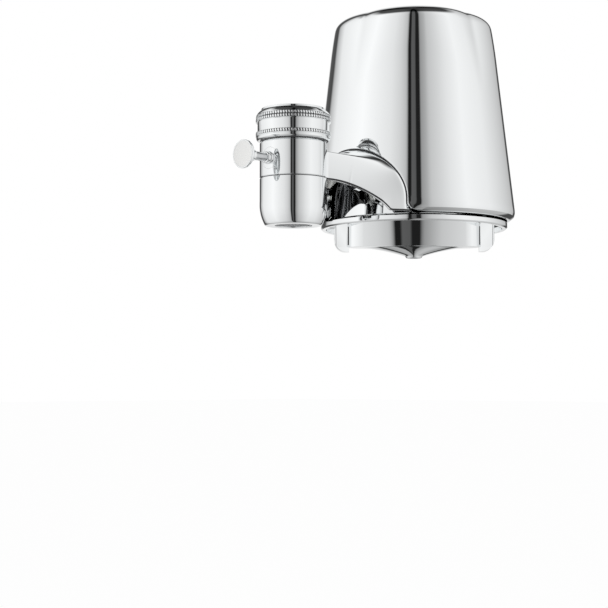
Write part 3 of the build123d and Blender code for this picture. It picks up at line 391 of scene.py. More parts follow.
def makeThreadTree():
    # one ridge that climbs round Z
    tree = bpy.data.node_groups.new("threadRidge", "GeometryNodeTree")
    tree.is_modifier = True
    for label, value in (("Radius", 0.0118), ("Turns", 8.0), ("Length", 0.0077), ("Ridge", 0.0004)):
        treeInput(tree, label, "NodeSocketFloat", value)
    treeInput(tree, "Steps", "NodeSocketInt", 64)
    treeInput(tree, "Material", "NodeSocketMaterial")
    tree.interface.new_socket("Geometry", in_out="OUTPUT", socket_type="NodeSocketGeometry")
    new = tree.nodes.new
    wires = tree.links
    given = new("NodeGroupInput")
    result = new("NodeGroupOutput")
    climb = new("GeometryNodeCurveSpiral")
    section = new("GeometryNodeCurvePrimitiveCircle")
    section.inputs["Resolution"].default_value = 4
    ridge = new("GeometryNodeCurveToMesh")
    ridge.inputs["Fill Caps"].default_value = True
    drop = new("ShaderNodeMath")
    drop.operation = "MULTIPLY"
    drop.inputs[1].default_value = -0.5
    lift = new("ShaderNodeCombineXYZ")
    centred = new("GeometryNodeTransform")
    solid = new("GeometryNodeRealizeInstances")
    finish = new("GeometryNodeSetMaterial")
    wireNodes(wires, (given, "Steps", climb, "Resolution"), (given, "Turns", climb, "Rotations"),
              (given, "Radius", climb, "Start Radius"), (given, "Radius", climb, "End Radius"),
              (given, "Length", climb, "Height"), (given, "Ridge", section, "Radius"),
              (climb, "Curve", ridge, "Curve"), (section, "Curve", ridge, "Profile Curve"),
              (given, "Length", drop, 0), (drop, 0, lift, "Z"), (ridge, "Mesh", centred, "Geometry"),
              (lift, "Vector", centred, "Translation"), (centred, "Geometry", solid, "Geometry"),
              (solid, "Geometry", finish, "Geometry"), (given, "Material", finish, "Material"),
              (finish, "Geometry", result, "Geometry"))
    return tree


def evaluatedMesh(obj):
    # plain mesh of an object with its modifiers; the object itself goes
    view = bpy.context.evaluated_depsgraph_get()
    view.update()
    mesh = bpy.data.meshes.new_from_object(obj.evaluated_get(view), depsgraph=view)
    obj.modifiers.clear()
    bpy.data.objects.remove(obj)
    return mesh


def grownMesh(name, tree, values):
    # evaluates a geometry tree with its named inputs and gives back the plain mesh
    holder = link(bpy.data.objects.new(name + "Grower", bpy.data.meshes.new(name + "Seed")))
    modifier = holder.modifiers.new("growth", "NODES")
    modifier.node_group = tree
    for item in tree.interface.items_tree:
        if item.item_type == "SOCKET" and item.in_out == "INPUT" and item.name in values:
            modifier[item.identifier] = values[item.name]
    mesh = evaluatedMesh(holder)
    mesh.name = name
    return mesh


def makeCollar():
    c = collar
    top, bottom = c["topZ"], c["bottomZ"]
    band, waist, rim = c["bandRadius"], c["waistRadius"], c["radius"]
    upperTop, upperEnd = c["upperBand"]
    waistTop, waistEnd = c["waist"]
    lowerTop, lowerEnd = c["lowerBand"]
    gapTop = bottom + c["footGap"]
    # every third number is the radius of that corner
    loop = roundedLoop([
        (c["threadRoot"], top - 0.05, 0.05), (c["topRadius"], top, 0.12),
        (c["topRadius"] + 0.02, top - 0.75, 0.08), (c["topRadius"] + 0.3, top - 0.85, 0.08),
        *arcPoints((c["topRadius"] + 0.35, top - 0.9), c["shoulderMiddle"], c["shoulderEnd"], 8),
        (band, upperTop, 0.03), (band, upperEnd, 0.03),
        (rim - 0.04, upperEnd - 0.04, 0.06), (rim - 0.04, waistTop + 0.05, 0.06),
        (waist, waistTop, 0.05), (waist, waistEnd, 0.05),
        (rim - 0.04, waistEnd - 0.06, 0.06), (rim - 0.04, lowerTop + 0.04, 0.06),
        (band, lowerTop, 0.03), (band, lowerEnd, 0.03),
        (rim - 0.02, lowerEnd - 0.05, 0.06), (rim - 0.02, lowerEnd - 0.3, 0.06),
        (c["beadStart"][0] - 0.06, c["beadStart"][1] + 0.1, 0.05),
        *arcPoints(c["beadStart"], c["beadMiddle"], (c["beadEndRadius"], gapTop), 12),
        (c["footRadius"], gapTop, 0.05), (c["footRadius"], bottom, 0.05),
        (c["lipRadius"], bottom, 0.1), (c["lipRadius"], c["lipTopZ"], 0.1), (c["reliefRadius"], c["lipTopZ"], 0.1),
        (c["reliefRadius"], c["threadEndZ"] - 0.1, 0.05), (c["threadRoot"], c["threadEndZ"], 0.05),
    ], 0.08, 3)
    body = turnedObject("collarBody", loop, segments=192)
    finishPiece(body, "collar", materials["chromeTurned"], "chrome", "swivel_collar")
    # painted shade: dark rings on the floors between the teeth and in the gap under the collar
    shades = []
    strips = [(c["footRadius"], bottom + 0.02, gapTop + 0.1, 128)]
    strips += [(band, low, high, 96) for low, high in c["shadeBands"]]
    for radius, low, high, segments in strips:
        inner, outer = radius - c["shadeInner"], radius + c["shadeProud"]
        shades.append(turnedObject("teethShadeRing", [(inner, low), (outer, low), (outer, high), (inner, high)],
                                   segments=segments))
    shadeBands = joinObjects("collarTeethShade", shades, 30)
    finishPiece(shadeBands, "collar", materials["recessShade"], "chrome")
    rows = []
    for row in c["rows"]:
        rows.append(grownMesh("teethRow", teethTree, {
            "Count": c["teethCount"], "Radius": row["radius"] * mm, "Height": row["z"] * mm,
            "Tooth Depth": c["toothDepth"] * mm, "Tooth Width": row["width"] * mm,
            "Tooth Length": row["height"] * mm, "Lean": radians(row["lean"]), "Tip": -radians(row["tip"]),
            "Material": materials["chromeTurned"]}))
    teeth = joinedObject("collarTeeth", rows, 60)
    finishPiece(teeth, "collar", materials["chromeTurned"], "chrome")
    ridge = grownMesh("threadTurns", makeThreadTree(), {
        "Radius": (c["threadRoot"] - 0.05) * mm, "Turns": c["threadTurns"],
        "Length": c["threadTurns"] * c["threadPitch"] * mm, "Ridge": c["threadRidge"] * mm, "Steps": c["threadSteps"],
        "Material": materials["chromeTurned"]})
    thread = joinedObject("collarThread", [ridge], 30)
    finishPiece(thread, "collar", materials["chromeTurned"], "chrome")
    print("collar made:", len(teeth.data.polygons), "faces of teeth")


makeCollar()

# the cup below the seam
cup = {
    "radius": 13.5, "topZ": -23.3, "straightEndZ": -32.9, "roundMiddle": (12.95, -38.35), "bottomZ": -42.3,
    "bottomRadius": 11.4, "mouthRadius": 7.4, "floorZ": -41.5, "socketRadius": 8.25, "socketTopZ": -34.1,
    "boreRadius": 10.2, "boreTaper": 1.5, "boreTopZ": -28.45, "spigotRadius": 11.7, "seamGap": 0.34,
    "seamDepth": 0.45, "seamShadeWidth": 0.26,
}


def makeCup():
    c = cup
    seamRadius = c["radius"] - c["seamDepth"]
    seamEnd = c["topZ"] - c["seamGap"]
    roundEnd = (c["bottomRadius"] + 0.12, c["bottomZ"] + 0.35)
    loop = roundedLoop([
        (seamRadius, c["topZ"], 0.05), (seamRadius, seamEnd, 0.05), (c["radius"], seamEnd - 0.05, 0.12),
        *arcPoints((c["radius"], c["straightEndZ"]), c["roundMiddle"], roundEnd, 16),
        (c["bottomRadius"] - 0.3, c["bottomZ"], 0.3),
        (c["mouthRadius"], c["bottomZ"], 0.25), (c["mouthRadius"], c["floorZ"], 0.1),
        (c["socketRadius"], c["floorZ"], 0.05), (c["socketRadius"], c["socketTopZ"], 0.1),
        (c["boreRadius"], c["socketTopZ"] + c["boreTaper"], 0.1),
        (c["boreRadius"], c["boreTopZ"], 0.05), (c["spigotRadius"], c["boreTopZ"], 0.05),
        (c["spigotRadius"], c["topZ"], 0.1),
    ], 0.1, 4)
    body = turnedObject("cupBody", loop, segments=192)
    finishPiece(body, "housing", materials["chromeTurned"], "chrome", "outlet_cup")
    # painted shade: a dark ring in the floor of the groove at the seam
    low, high = seamEnd - 0.02, c["topZ"] + 0.02
    inner = seamRadius - 0.2
    outer = inner + c["seamShadeWidth"]
    shade = turnedObject("seamShade", [(inner, low), (outer, low), (outer, high), (inner, high)])
    finishPiece(shade, "housing", materials["recessShade"], "chrome")


makeCup()

# the flow insert in the cup's mouth: a sleeve with rings, thin ribs and a plate behind them
aerator = {
    "radius": 8.2, "innerRadius": 6.85, "bottomZ": -41.5, "topZ": -34.1, "plateZ": -39.1, "plateThickness": 1.4,
    "ribCount": 18, "ribInner": 1.0, "ribOuter": 6.95, "ribWidth": 0.5, "ribHeight": 1.5, "ribZ": -40.7,
    "ringRadii": (1.2, 3.0, 4.8), "ringWall": 0.45,
}


def makeAerator():
    a = aerator
    sleeveLoop = roundedLoop([(a["radius"], a["bottomZ"], 0.1), (a["innerRadius"], a["bottomZ"], 0.2),
                              (a["innerRadius"], a["topZ"], 0.2), (a["radius"], a["topZ"], 0.2)], 0.1, 3)
    plateTop = a["plateZ"] + a["plateThickness"]
    plateRadius = a["innerRadius"] + 0.1
    plateLoop = [(0, a["plateZ"]), (plateRadius, a["plateZ"]), (plateRadius, plateTop), (0, plateTop)]
    pieces = [turnedObject("sleeve", sleeveLoop, segments=120), turnedObject("plate", plateLoop, segments=96)]
    low, high = a["ribZ"] - a["ribHeight"] / 2 + 0.05, a["ribZ"] + a["ribHeight"] / 2
    for radius in a["ringRadii"]:
        outer = radius + a["ringWall"]
        ringLoop = roundedLoop([(radius, low), (outer, low), (outer, high), (radius, high)], 0.1, 2)
        pieces.append(turnedObject("flowRing", ringLoop, segments=64))
    ribs = grownMesh("flowRibs", teethTree, {
        "Count": a["ribCount"], "Radius": (a["ribInner"] + a["ribOuter"]) / 2 * mm, "Height": a["ribZ"] * mm,
        "Tooth Depth": (a["ribOuter"] - a["ribInner"]) * mm, "Tooth Width": a["ribWidth"] * mm,
        "Tooth Length": a["ribHeight"] * mm, "Lean": 0.0, "Tip": 0.0, "Material": materials["greyPlastic"]})
    pieces.append(joinedObject("flowRibs", [ribs], 40))
    insert = joinObjects("flowInsert", pieces, 40)
    finishPiece(insert, "housing", materials["greyPlastic"], "grey_plastic", "aerator_insert")


makeAerator()

# the knob, turned about the valve's axis, with a fine satin face
knob = {
    "axisZ": -16.4, "faceX": -27.7, "radius": 5.6, "rim": 1.3, "edge": 0.3, "neckRadius": 2.8, "neckEndRadius": 2.2,
    "neckHollow": 2.1, "neckEndX": -22.1, "bore": 1.7, "faceRadius": 5.05, "faceDepth": 0.12, "faceStep": 0.03,
}


def makeKnob():
    k = knob
    back = k["faceX"] + k["rim"]
    place = Matrix.Translation(Vector((0, 0, k["axisZ"]))) @ Matrix.Rotation(pi / 2, 4, "Y")
    faceZ = k["faceX"] + k["faceDepth"]
    loop = roundedLoop([
        (0, faceZ, 0), (k["faceRadius"], faceZ, 0.03), (k["faceRadius"] + 0.06, k["faceX"], 0.05),
        (k["radius"], k["faceX"], k["edge"]), (k["radius"], back, k["edge"]),
        (k["neckRadius"] + 0.25, back, 0.2),
        *arcPoints((k["neckRadius"], back + 0.2), (k["neckEndRadius"] + 0.08, back + k["neckHollow"]),
                   (k["neckEndRadius"], k["neckEndX"]), 10),
        (k["bore"], k["neckEndX"], 0.05), (k["bore"], back, 0), (0, back, 0),
    ], 0.1, 4)
    body = turnedObject("knobBody", loop, place, 128)
    finishPiece(body, "knob", materials["chromeTurned"], "chrome", "pull_knob")
    front, rear = k["faceX"] + k["faceStep"], faceZ + 0.02
    discRadius = k["faceRadius"] - 0.02
    faceLoop = roundedLoop([(0, front, 0), (discRadius, front, 0.04), (discRadius, rear, 0), (0, rear, 0)], 0.03, 3)
    face = turnedObject("knobFace", faceLoop, place, 96)
    finishPiece(face, "knob", materials["satinFace"], "chrome")


makeKnob()
print("cup and knob made")

# the bell: a cone that four round lobes divide towards the top, with an arched mouth for the arm
cover = {
    "axisX": 73.6, "wideRadius": 43.7, "wideZ": -31.0, "slopeAngle": 6.5, "wall": 2.0, "rimZ": -35.2,
    "rimInset": 2.8, "rimWall": 0.7, "topZ": 53.0, "shoulder": 6.8, "lobeOffset": 6.4, "lobeRadius": 28.19,
    "lobeGaugeZ": 48.1, "lobeSlope": 12.4, "lobeCount": 4, "creaseBlend": 0.45, "bellBlend": 1.3,
    "archHalfWidth": 26.4, "archCrownZ": -7.66, "archFootZ": -31.7, "footRadius": 3.4,
    "edge": 0.35, "edgeSteps": 4, "archColumns": 150, "footColumns": 14, "rimColumns": 210, "sideRows": 64,
    "shoulderRows": 14, "topRows": 8, "footPower": 4, "innerFootShare": 0.5, "crownStartZ": 0, "mostOfWall": 0.45,
    "sharpAngle": 35,
}


def smoothLeast(a, b, k):
    # the smaller of two values, with a rounded change-over of width k
    h = max(k - abs(a - b), 0) / k
    return min(a, b) - h * h * k / 4


def coneRadius(radius, gaugeZ, angle, z):
    # radius at a height of a cone that leans in by an angle and has a known radius at one height
    return radius - (z - gaugeZ) * tan(radians(angle))


def lobeLevels(inset):
    # radius and z of the middle of a lobe's rounded shoulder, the shoulder's own radius and the side's slope
    c = cover
    topZ = c["topZ"] - inset
    shoulder = c["shoulder"] - inset
    slopeAngle = radians(c["lobeSlope"])
    sideAtTop = coneRadius(c["lobeRadius"] - inset, c["lobeGaugeZ"], c["lobeSlope"], topZ)
    middleRadius = sideAtTop + shoulder * tan(slopeAngle) - shoulder / cos(slopeAngle)
    return middleRadius, topZ - shoulder, shoulder, slopeAngle


def bellRadius(angle, z, lobe, inset):
    # distance from the cover's axis at a bearing, for a height and that height's lobe radius
    c = cover
    plain = coneRadius(c["wideRadius"] - inset, c["wideZ"], c["slopeAngle"], z)
    if z < c["wideZ"]:
        drawnIn = c["rimInset"] * (1 if inset == 0 else c["innerFootShare"])
        share = (c["wideZ"] - z) / (c["wideZ"] - c["rimZ"])
        plain = c["wideRadius"] - inset - drawnIn * share ** c["footPower"]
    if z < c["crownStartZ"]:
        return plain
    step = 2 * pi / c["lobeCount"]
    first = step / 2
    near = (angle - first) % step
    sides = []
    for phi in (near, near - step):
        reach = c["lobeOffset"] * cos(phi) + sqrt(max(lobe * lobe - (c["lobeOffset"] * sin(phi)) ** 2, 0))
        sides.append(reach)
    crown = -smoothLeast(-sides[0], -sides[1], c["creaseBlend"])
    return smoothLeast(plain, crown, c["bellBlend"])


def lobeRadiusAt(z, inset):
    # radius of one lobe about its own axis at a height
    c = cover
    middleRadius, middleZ, shoulder, slopeAngle = lobeLevels(inset)
    touchZ = middleZ + shoulder * sin(slopeAngle)
    if z <= touchZ:
        return coneRadius(c["lobeRadius"] - inset, c["lobeGaugeZ"], c["lobeSlope"], z)
    return middleRadius + sqrt(max(shoulder ** 2 - (z - middleZ) ** 2, 0))


def mouthEdge():
    # the cover's lower edge from the middle of the arch round to the back
    # each entry is (y, z, outward y, outward z, share of the rim, bearing or None on the arch)
    c = cover
    half = c["archHalfWidth"]
    high = c["archCrownZ"] - c["archFootZ"]
    out = []
    archSteps = c["archColumns"] // 2
    footSteps = c["footColumns"]
    for i in range(archSteps):
        a = pi / 2 * (1 - i / archSteps)
        normal = Vector((cos(a) * high, sin(a) * half)).normalized()
        out.append((half * cos(a), c["archFootZ"] + high * sin(a), normal.x, normal.y, 0, None))
    for i in range(footSteps + 1):
        a = pi / 2 * i / footSteps
        y = half + c["footRadius"] * (1 - cos(a))
        z = c["archFootZ"] - c["footRadius"] * sin(a)
        out.append((y, z, cos(a), sin(a), (i / footSteps) ** 2, None))
    y = half + c["footRadius"]
    r = c["wideRadius"] - c["rimInset"]
    startAngle = atan2(y, -sqrt(r * r - y * y))
    rimSteps = c["rimColumns"] // 2
    for i in range(1, rimSteps + 1):
        angle = startAngle * (1 - i / rimSteps)
        out.append((r * sin(angle), c["rimZ"], 0, 1, 1, angle))
    return out


def coverPoint(y, z, inset):
    # point of the bell's side towards the arm at a given y and z, and its bearing
    radius = cover["wideRadius"]
    angle = pi
    for _ in range(6):
        angle = pi - asinLimited(y / radius)
        radius = bellRadius(angle, z, lobeRadiusAt(z, inset), inset)
    return Vector((cover["axisX"] + radius * cos(angle), y, z)), angle


def asinLimited(value):
    value = max(-1, min(1, value))
    return atan2(value, sqrt(1 - value * value))


def roundCover(radius, angle, z):
    # point at a distance and a bearing from the cover's axis
    return Vector((cover["axisX"] + radius * cos(angle), radius * sin(angle), z))


def coverColumn(start, angle, inset):
    # points of one column from its lower end up the side, over the shoulder to the middle of the top
    c = cover
    middleRadius, middleZ, shoulder, slopeAngle = lobeLevels(inset)
    touchZ = middleZ + shoulder * sin(slopeAngle)
    points = []
    low = start.z
    for i in range(c["sideRows"]):
        z = low + (touchZ - low) * i / c["sideRows"]
        radius = bellRadius(angle, z, lobeRadiusAt(z, inset), inset)
        points.append(roundCover(radius, angle, z))
    points[0] = start
    for i in range(c["shoulderRows"]):
        turn = slopeAngle + (pi / 2 - slopeAngle) * i / c["shoulderRows"]
        z = middleZ + shoulder * sin(turn)
        radius = bellRadius(angle, z, middleRadius + shoulder * cos(turn), inset)
        points.append(roundCover(radius, angle, z))
    flat = bellRadius(angle, middleZ + shoulder, middleRadius, inset)
    for i in range(c["topRows"]):
        radius = flat * (1 - i / c["topRows"])
        points.append(roundCover(radius, angle, middleZ + shoulder))
    points.append(roundCover(0, angle, middleZ + shoulder))
    return points


def coverPlace(y, z, angle):
    # point of the cover's outside at a lower edge entry moved to y and z
    if angle is None:
        return coverPoint(y, z, 0)[0]
    return roundCover(bellRadius(angle, z, lobeRadiusAt(z, 0), 0), angle, z)


def coverEdgeLoop(y, z, outY, outZ, share, angle):
    # points of the rounded lower edge from the outside to the inside
    c = cover
    thick = c["wall"] + (c["rimWall"] - c["wall"]) * share
    if angle is None:
        bearing = coverPoint(y, z, 0)[1]
        inward = Vector((1, 0, 0)).lerp(Vector((-cos(bearing), -sin(bearing), 0)), share).normalized()
    else:
        angle = angle % (2 * pi)
        inward = Vector((-cos(angle), -sin(angle), 0))
    radius = min(c["edge"], thick * c["mostOfWall"])
    outside = []
    inside = []
    for i in range(c["edgeSteps"] + 1):
        turn = pi / 2 * i / c["edgeSteps"]
        offset, depth = radius * (1 - sin(turn)), radius * (1 - cos(turn))
        base = coverPlace(y + outY * offset, z + outZ * offset, angle)
        outside.append(base + inward * depth)
        inside.append(base + inward * (thick - depth))
    return outside + inside[::-1]


def makeCover():
    c = cover
    half = mouthEdge()
    mirrored = [(-y, z, -outY, outZ, share, None if angle is None else -angle)
                for y, z, outY, outZ, share, angle in half]
    columns = []
    for entry in half + mirrored[-2:0:-1]:
        loop = coverEdgeLoop(*entry)
        startOut, startIn = loop[0], loop[-1]
        outside = coverColumn(startOut, atan2(startOut.y, startOut.x - c["axisX"]), 0)
        inside = coverColumn(startIn, atan2(startIn.y, startIn.x - c["axisX"]), c["wall"])
        columns.append(outside[::-1] + loop[1:-1] + inside)
    verts = [point for column in columns for point in column]
    faces = gridFaces(len(columns), len(columns[0]), True, False)
    obj = meshObject("coverShell", verts, faces, c["sharpAngle"])
    finishPiece(obj, "housing", materials["chromeShell"], "chrome", "outer_cover")
    print("cover made:", len(obj.data.polygons), "faces")


makeCover()

# the arm: level and boxy at the diverter, flaring and rising to the arch of the mouth
arm = {
    "bodyRadius": 13.5, "halfWidth": 8.4, "topZ": -12.0, "footZ": -31.7, "risePower": 2.4, "edgeAngle": 46.8,
    "wall": 1.4, "archHalfWidth": 26.0, "archCrownZ": -8.1, "tuckRadius": 40.5, "startRadius": 13.57, "startHalf": 13,
    "flareX": 11.2, "bulgePower": 3, "lowStart": (6.75, -23.6), "lowMiddle": (26.5, -28.7), "lowEnd": (33.3, -35.2),
    "edge": 0.3, "edgeSteps": 6, "crestPasses": 14, "columns": 90, "footRows": 4, "sideRows": 30, "roofRows": 34,
    "firstReach": 26, "placePasses": 8, "lowPasses": 24, "sideSpacing": 0.8, "roofSpacing": 1.4, "sharpAngle": 38,
    "bossRadius": 2.15, "bossX": 29.0, "bossY": 7.6, "bossZ": -17.9, "bossTopZ": -12.6, "holeRadius": 1.1,
}


def armPoint(x, angle, inset):
    # (y, z) of the arm's section at x: a box at the diverter that turns into the mouth's arch
    a = arm
    archY = (a["archHalfWidth"] - inset) * cos(radians(angle))
    archHigh = a["archCrownZ"] - inset - a["footZ"]
    archZ = a["footZ"] + archHigh * sin(radians(angle))
    meetRadius = coneRadius(cover["wideRadius"], cover["wideZ"], cover["slopeAngle"], archZ)
    meetX = cover["axisX"] - sqrt(meetRadius ** 2 - archY ** 2)
    share = min(max((x - a["flareX"]) / (meetX - a["flareX"]), 0), 1)
    crest = a["edgeAngle"]
    topZ = a["topZ"] - inset
    if angle < crest:
        boxY = a["halfWidth"] - inset
        boxZ = a["footZ"] + (topZ - a["footZ"]) * angle / crest
        rise = share
        flatY = (a["archHalfWidth"] - inset) * (1 + (cos(radians(crest)) - 1) * angle / crest)
        flatZ = a["footZ"] + archHigh * sin(radians(crest)) * angle / crest
        late = share ** a["bulgePower"]
        archY = flatY + (archY - flatY) * late
        archZ = flatZ + (archZ - flatZ) * late
    else:
        boxY = (a["halfWidth"] - inset) * (90 - angle) / (90 - crest)
        boxZ = topZ
        rise = share ** (1 + (a["risePower"] - 1) * (angle - crest) / (90 - crest))
    return boxY + (archY - boxY) * share, boxZ + (archZ - boxZ) * rise


def lowEdgeZ(x):
    # height of the arm's curved lower edge
    if x >= arm["lowEnd"][0]:
        return cover["rimZ"]
    ux, uz, r = circleThrough(arm["lowStart"], arm["lowMiddle"], arm["lowEnd"])
    return uz + sqrt(max(r * r - (x - ux) ** 2, 0))


def armOutline(x, inset, lowZ):
    # half outline from the lower edge up the side and over to the crown: (y, z) pairs
    a = arm
    points = []
    y0, z0 = armPoint(x, 0, inset)
    crest = a["edgeAngle"]
    footRows = a["footRows"]
    if lowZ < z0:
        lowAngle = 0
        straight = [(y0, lowZ + (z0 - lowZ) * i / footRows) for i in range(footRows)]
    else:
        low, high = 0.0, crest
        for _ in range(a["lowPasses"]):
            middle = (low + high) / 2
            if armPoint(x, middle, inset)[1] < lowZ:
                low = middle
            else:
                high = middle
        lowAngle = high
        y, z = armPoint(x, lowAngle, inset)
        straight = [(y, z)] * footRows
    for i in range(a["sideRows"] + 1):
        angle = lowAngle + (crest - lowAngle) * (i / a["sideRows"]) ** a["sideSpacing"]
        points.append(armPoint(x, angle, inset))
    for i in range(1, a["roofRows"] + 1):
        angle = crest + (90 - crest) * (i / a["roofRows"]) ** a["roofSpacing"]
        points.append(armPoint(x, angle, inset))
    return straight + points


def softened(points, times):
    # eases the crest of an outline without moving its ends
    for _ in range(times):
        middle = [tuple((Vector(points[i - 1]) + 2 * Vector(points[i]) + Vector(points[i + 1])) / 4)
                  for i in range(1, len(points) - 1)]
        points = [points[0]] + middle + [points[-1]]
    return points


def bothSides(row):
    # a half row and its mirror image
    return [Vector(p) for p in row] + [Vector((x, -y, z)) for x, y, z in reversed(row[:-1])]


def armGrid(inset, lift):
    # rows of points from the diverter to inside the mouth, each from one lower edge to the other
    a = arm
    rows = []
    for column in range(a["columns"] + 1):
        share = column / a["columns"]
        xs = [a["bodyRadius"] + a["firstReach"] * share] * (a["footRows"] + a["sideRows"] + a["roofRows"] + 1)
        for _ in range(a["placePasses"]):
            row = [outlineAt(x, inset, lift)[index] for index, x in enumerate(xs)]
            xs = []
            for y, z in row:
                start = sqrt(a["startRadius"] ** 2 - min(y, a["startHalf"]) ** 2)
                tuck = coneRadius(a["tuckRadius"], cover["wideZ"], cover["slopeAngle"], z)
                end = cover["axisX"] - sqrt(max(tuck ** 2 - y ** 2, 1))
                xs.append(start + (end - start) * share)
        points = [(x, y, z) for x, (y, z) in zip(xs, row)]
        rows.append(softened(points, a["crestPasses"]))
    return rows


outlineStore = {}


def outlineAt(x, inset, lift):
    key = (round(x, 3), inset, lift)
    if key not in outlineStore:
        outlineStore[key] = armOutline(x, inset, lowEdgeZ(x) + lift)
    return outlineStore[key]


def makeArm():
    a = arm
    outer = armGrid(0, a["edge"])
    inner = armGrid(a["wall"], a["edge"])
    loops = []
    for outRow, inRow in zip(outer, inner):
        outside = bothSides(outRow)
        inside = bothSides(inRow)[::-1]
        edgeA = roundedEnd(outside[-1], inside[0], a["edge"])
        edgeB = roundedEnd(inside[-1], outside[0], a["edge"])
        loops.append(outside + edgeA + inside + edgeB)
    count = len(loops[0])
    total = len(loops)
    verts = [point for loop in loops for point in loop]
    faces = gridFaces(total, count, False, True)
    half = len(outer[0]) * 2 - 1
    edgeCount = (count - 2 * half) // 2
    for row in (0, total - 1):
        base = row * count
        for k in range(half - 1):
            other = 2 * half + edgeCount - 1 - k
            faces.append((base + k, base + k + 1, base + other - 1, base + other))
        ends = [base + half - 1 + i for i in range(edgeCount + 2)]
        starts = [base + 2 * half + edgeCount - 1 + i for i in range(edgeCount + 1)] + [base]
        faces.append(tuple(ends))
        faces.append(tuple(starts))
    obj = meshObject("armShell", verts, faces, a["sharpAngle"])
    bosses = []
    for side in (-1, 1):
        loop = roundedLoop([(a["holeRadius"], a["bossZ"], 0.1), (a["bossRadius"], a["bossZ"], 0.15),
                            (a["bossRadius"], a["bossTopZ"], 0), (a["holeRadius"], a["bossTopZ"], 0)], 0.1, 3)
        place = Matrix.Translation(Vector((a["bossX"], side * a["bossY"], 0)))
        bosses.append(turnedObject("armBoss", loop, place, 40))
    finished = joinObjects("armShell", [obj] + bosses, a["sharpAngle"])
    finishPiece(finished, "housing", materials["chromeShell"], "chrome", "arm_shell")
    print("arm made:", len(finished.data.polygons), "faces")


def roundedEnd(first, last, radius):
    # points of a rounded lower edge between the outside and the inside
    across = last - first
    middle = (first + last) / 2
    down = Vector((0, 0, -1))
    points = []
    for i in range(1, arm["edgeSteps"]):
        turn = pi * i / arm["edgeSteps"]
        flat = min(radius / max(across.length, 1e-6), 0.5)
        sideShare = -cos(turn)
        reach = 0.5 - flat + flat * abs(sideShare)
        points.append(middle + across * (reach if sideShare > 0 else -reach) + down * radius * sin(turn))
    return points


makeArm()


# painted shade: dark surfaces put where the arm shades: its inside, the gap round the mouth and the line along its
# lower edge
armShades = {
    "insideShadeLift": 0.12, "insideShadeProud": 0.06, "insideShadeDepth": 0.3, "gapSteps": 90, "gapStart": 0.02, "gapEnd": 0.42,
    "gapFront": 0.25, "gapBack": 1.7, "lineLow": 0.06, "lineHeight": 0.75, "lineProud": 0.05, "lineDepth": 0.5,
    "sharpAngle": 38,
}


# painted shade: a dark sheet just inside the arm's wall
def makeArmInsideShade():
    h = armShades
    outer = armGrid(arm["wall"] - h["insideShadeProud"], h["insideShadeLift"])
    inner = armGrid(arm["wall"] + h["insideShadeDepth"], h["insideShadeLift"])
    rings = [bothSides(outRow) + bothSides(inRow)[::-1] for outRow, inRow in zip(outer, inner)]
    finishPiece(tubeObject("armInsideShade", rings, h["sharpAngle"]), "housing", materials["insideShadeMetal"], "chrome")


# painted shade: a dark strip that fills the gap between the arm and the cover's mouth
def makeMouthGapShade():
    h = armShades
    high = arm["archCrownZ"] - arm["footZ"]
    section = ((h["gapStart"], h["gapFront"]), (h["gapEnd"], h["gapFront"]),
               (h["gapEnd"], h["gapBack"]), (h["gapStart"], h["gapBack"]))
    rings = []
    for i in range(h["gapSteps"] + 1):
        turn = pi * i / h["gapSteps"]
        ring = []
        for out, deep in section:
            y = (arm["archHalfWidth"] + out) * cos(turn)
            z = arm["footZ"] + (high + out) * sin(turn)
            ring.append(coverPoint(y, z, 0)[0] + Vector((deep, 0, 0)))
        rings.append(ring)
    finishPiece(tubeObject("mouthGapShade", rings, h["sharpAngle"]), "housing", materials["shadeBlack"], "chrome")


# painted shade: dark strips along the arm's lower edges
def makeLowerEdgeShade():
    h = armShades
    lowPoints = [row[0] for row in armGrid(0, 0)]
    lines = []
    for side in (-1, 1):
        rings = []
        for x, y, z in lowPoints:
            out, back = y + h["lineProud"], y - h["lineDepth"]
            low, high = z + h["lineLow"], z + h["lineHeight"]
            rings.append([Vector((x, side * across, up))
                          for across, up in ((out, low), (out, high), (back, high), (back, low))])
        lines.append(tubeObject("lowerEdgeShade", rings, h["sharpAngle"]))
    lowerEdgeShade = joinObjects("lowerEdgeShade", lines, h["sharpAngle"])
    finishPiece(lowerEdgeShade, "housing", materials["shadeBlack"], "chrome")


makeArmInsideShade()
makeMouthGapShade()
makeLowerEdgeShade()
print("arm lined")

# the twist cap: the moulded form with eased edges and a deeper hollow underside
cap = {
    "axisX": 73.6, "ceilingZ": -37.0, "plateTopZ": -35.7, "ceilingRadius": 38.2, "wellRadius": 31.0,
    "innerRadius": 8.5, "outerCeilingZ": -36.3, "rise": 1.55, "nearZ": 0.02, "edge": 0.32, "edgeAngle": 38,
    "gripAngle": -46.8, "gapLow": -45.2, "gapHigh": -37.2,
    "gapSection": ((27.55, 1.6), (28.3, 1.6), (28.3, 2.2), (27.75, 2.5)), "gapSharpAngle": 30,
    "mergeDistance": 2e-6, "flatAngle": 0.2, "edgeSteps": 3,
}


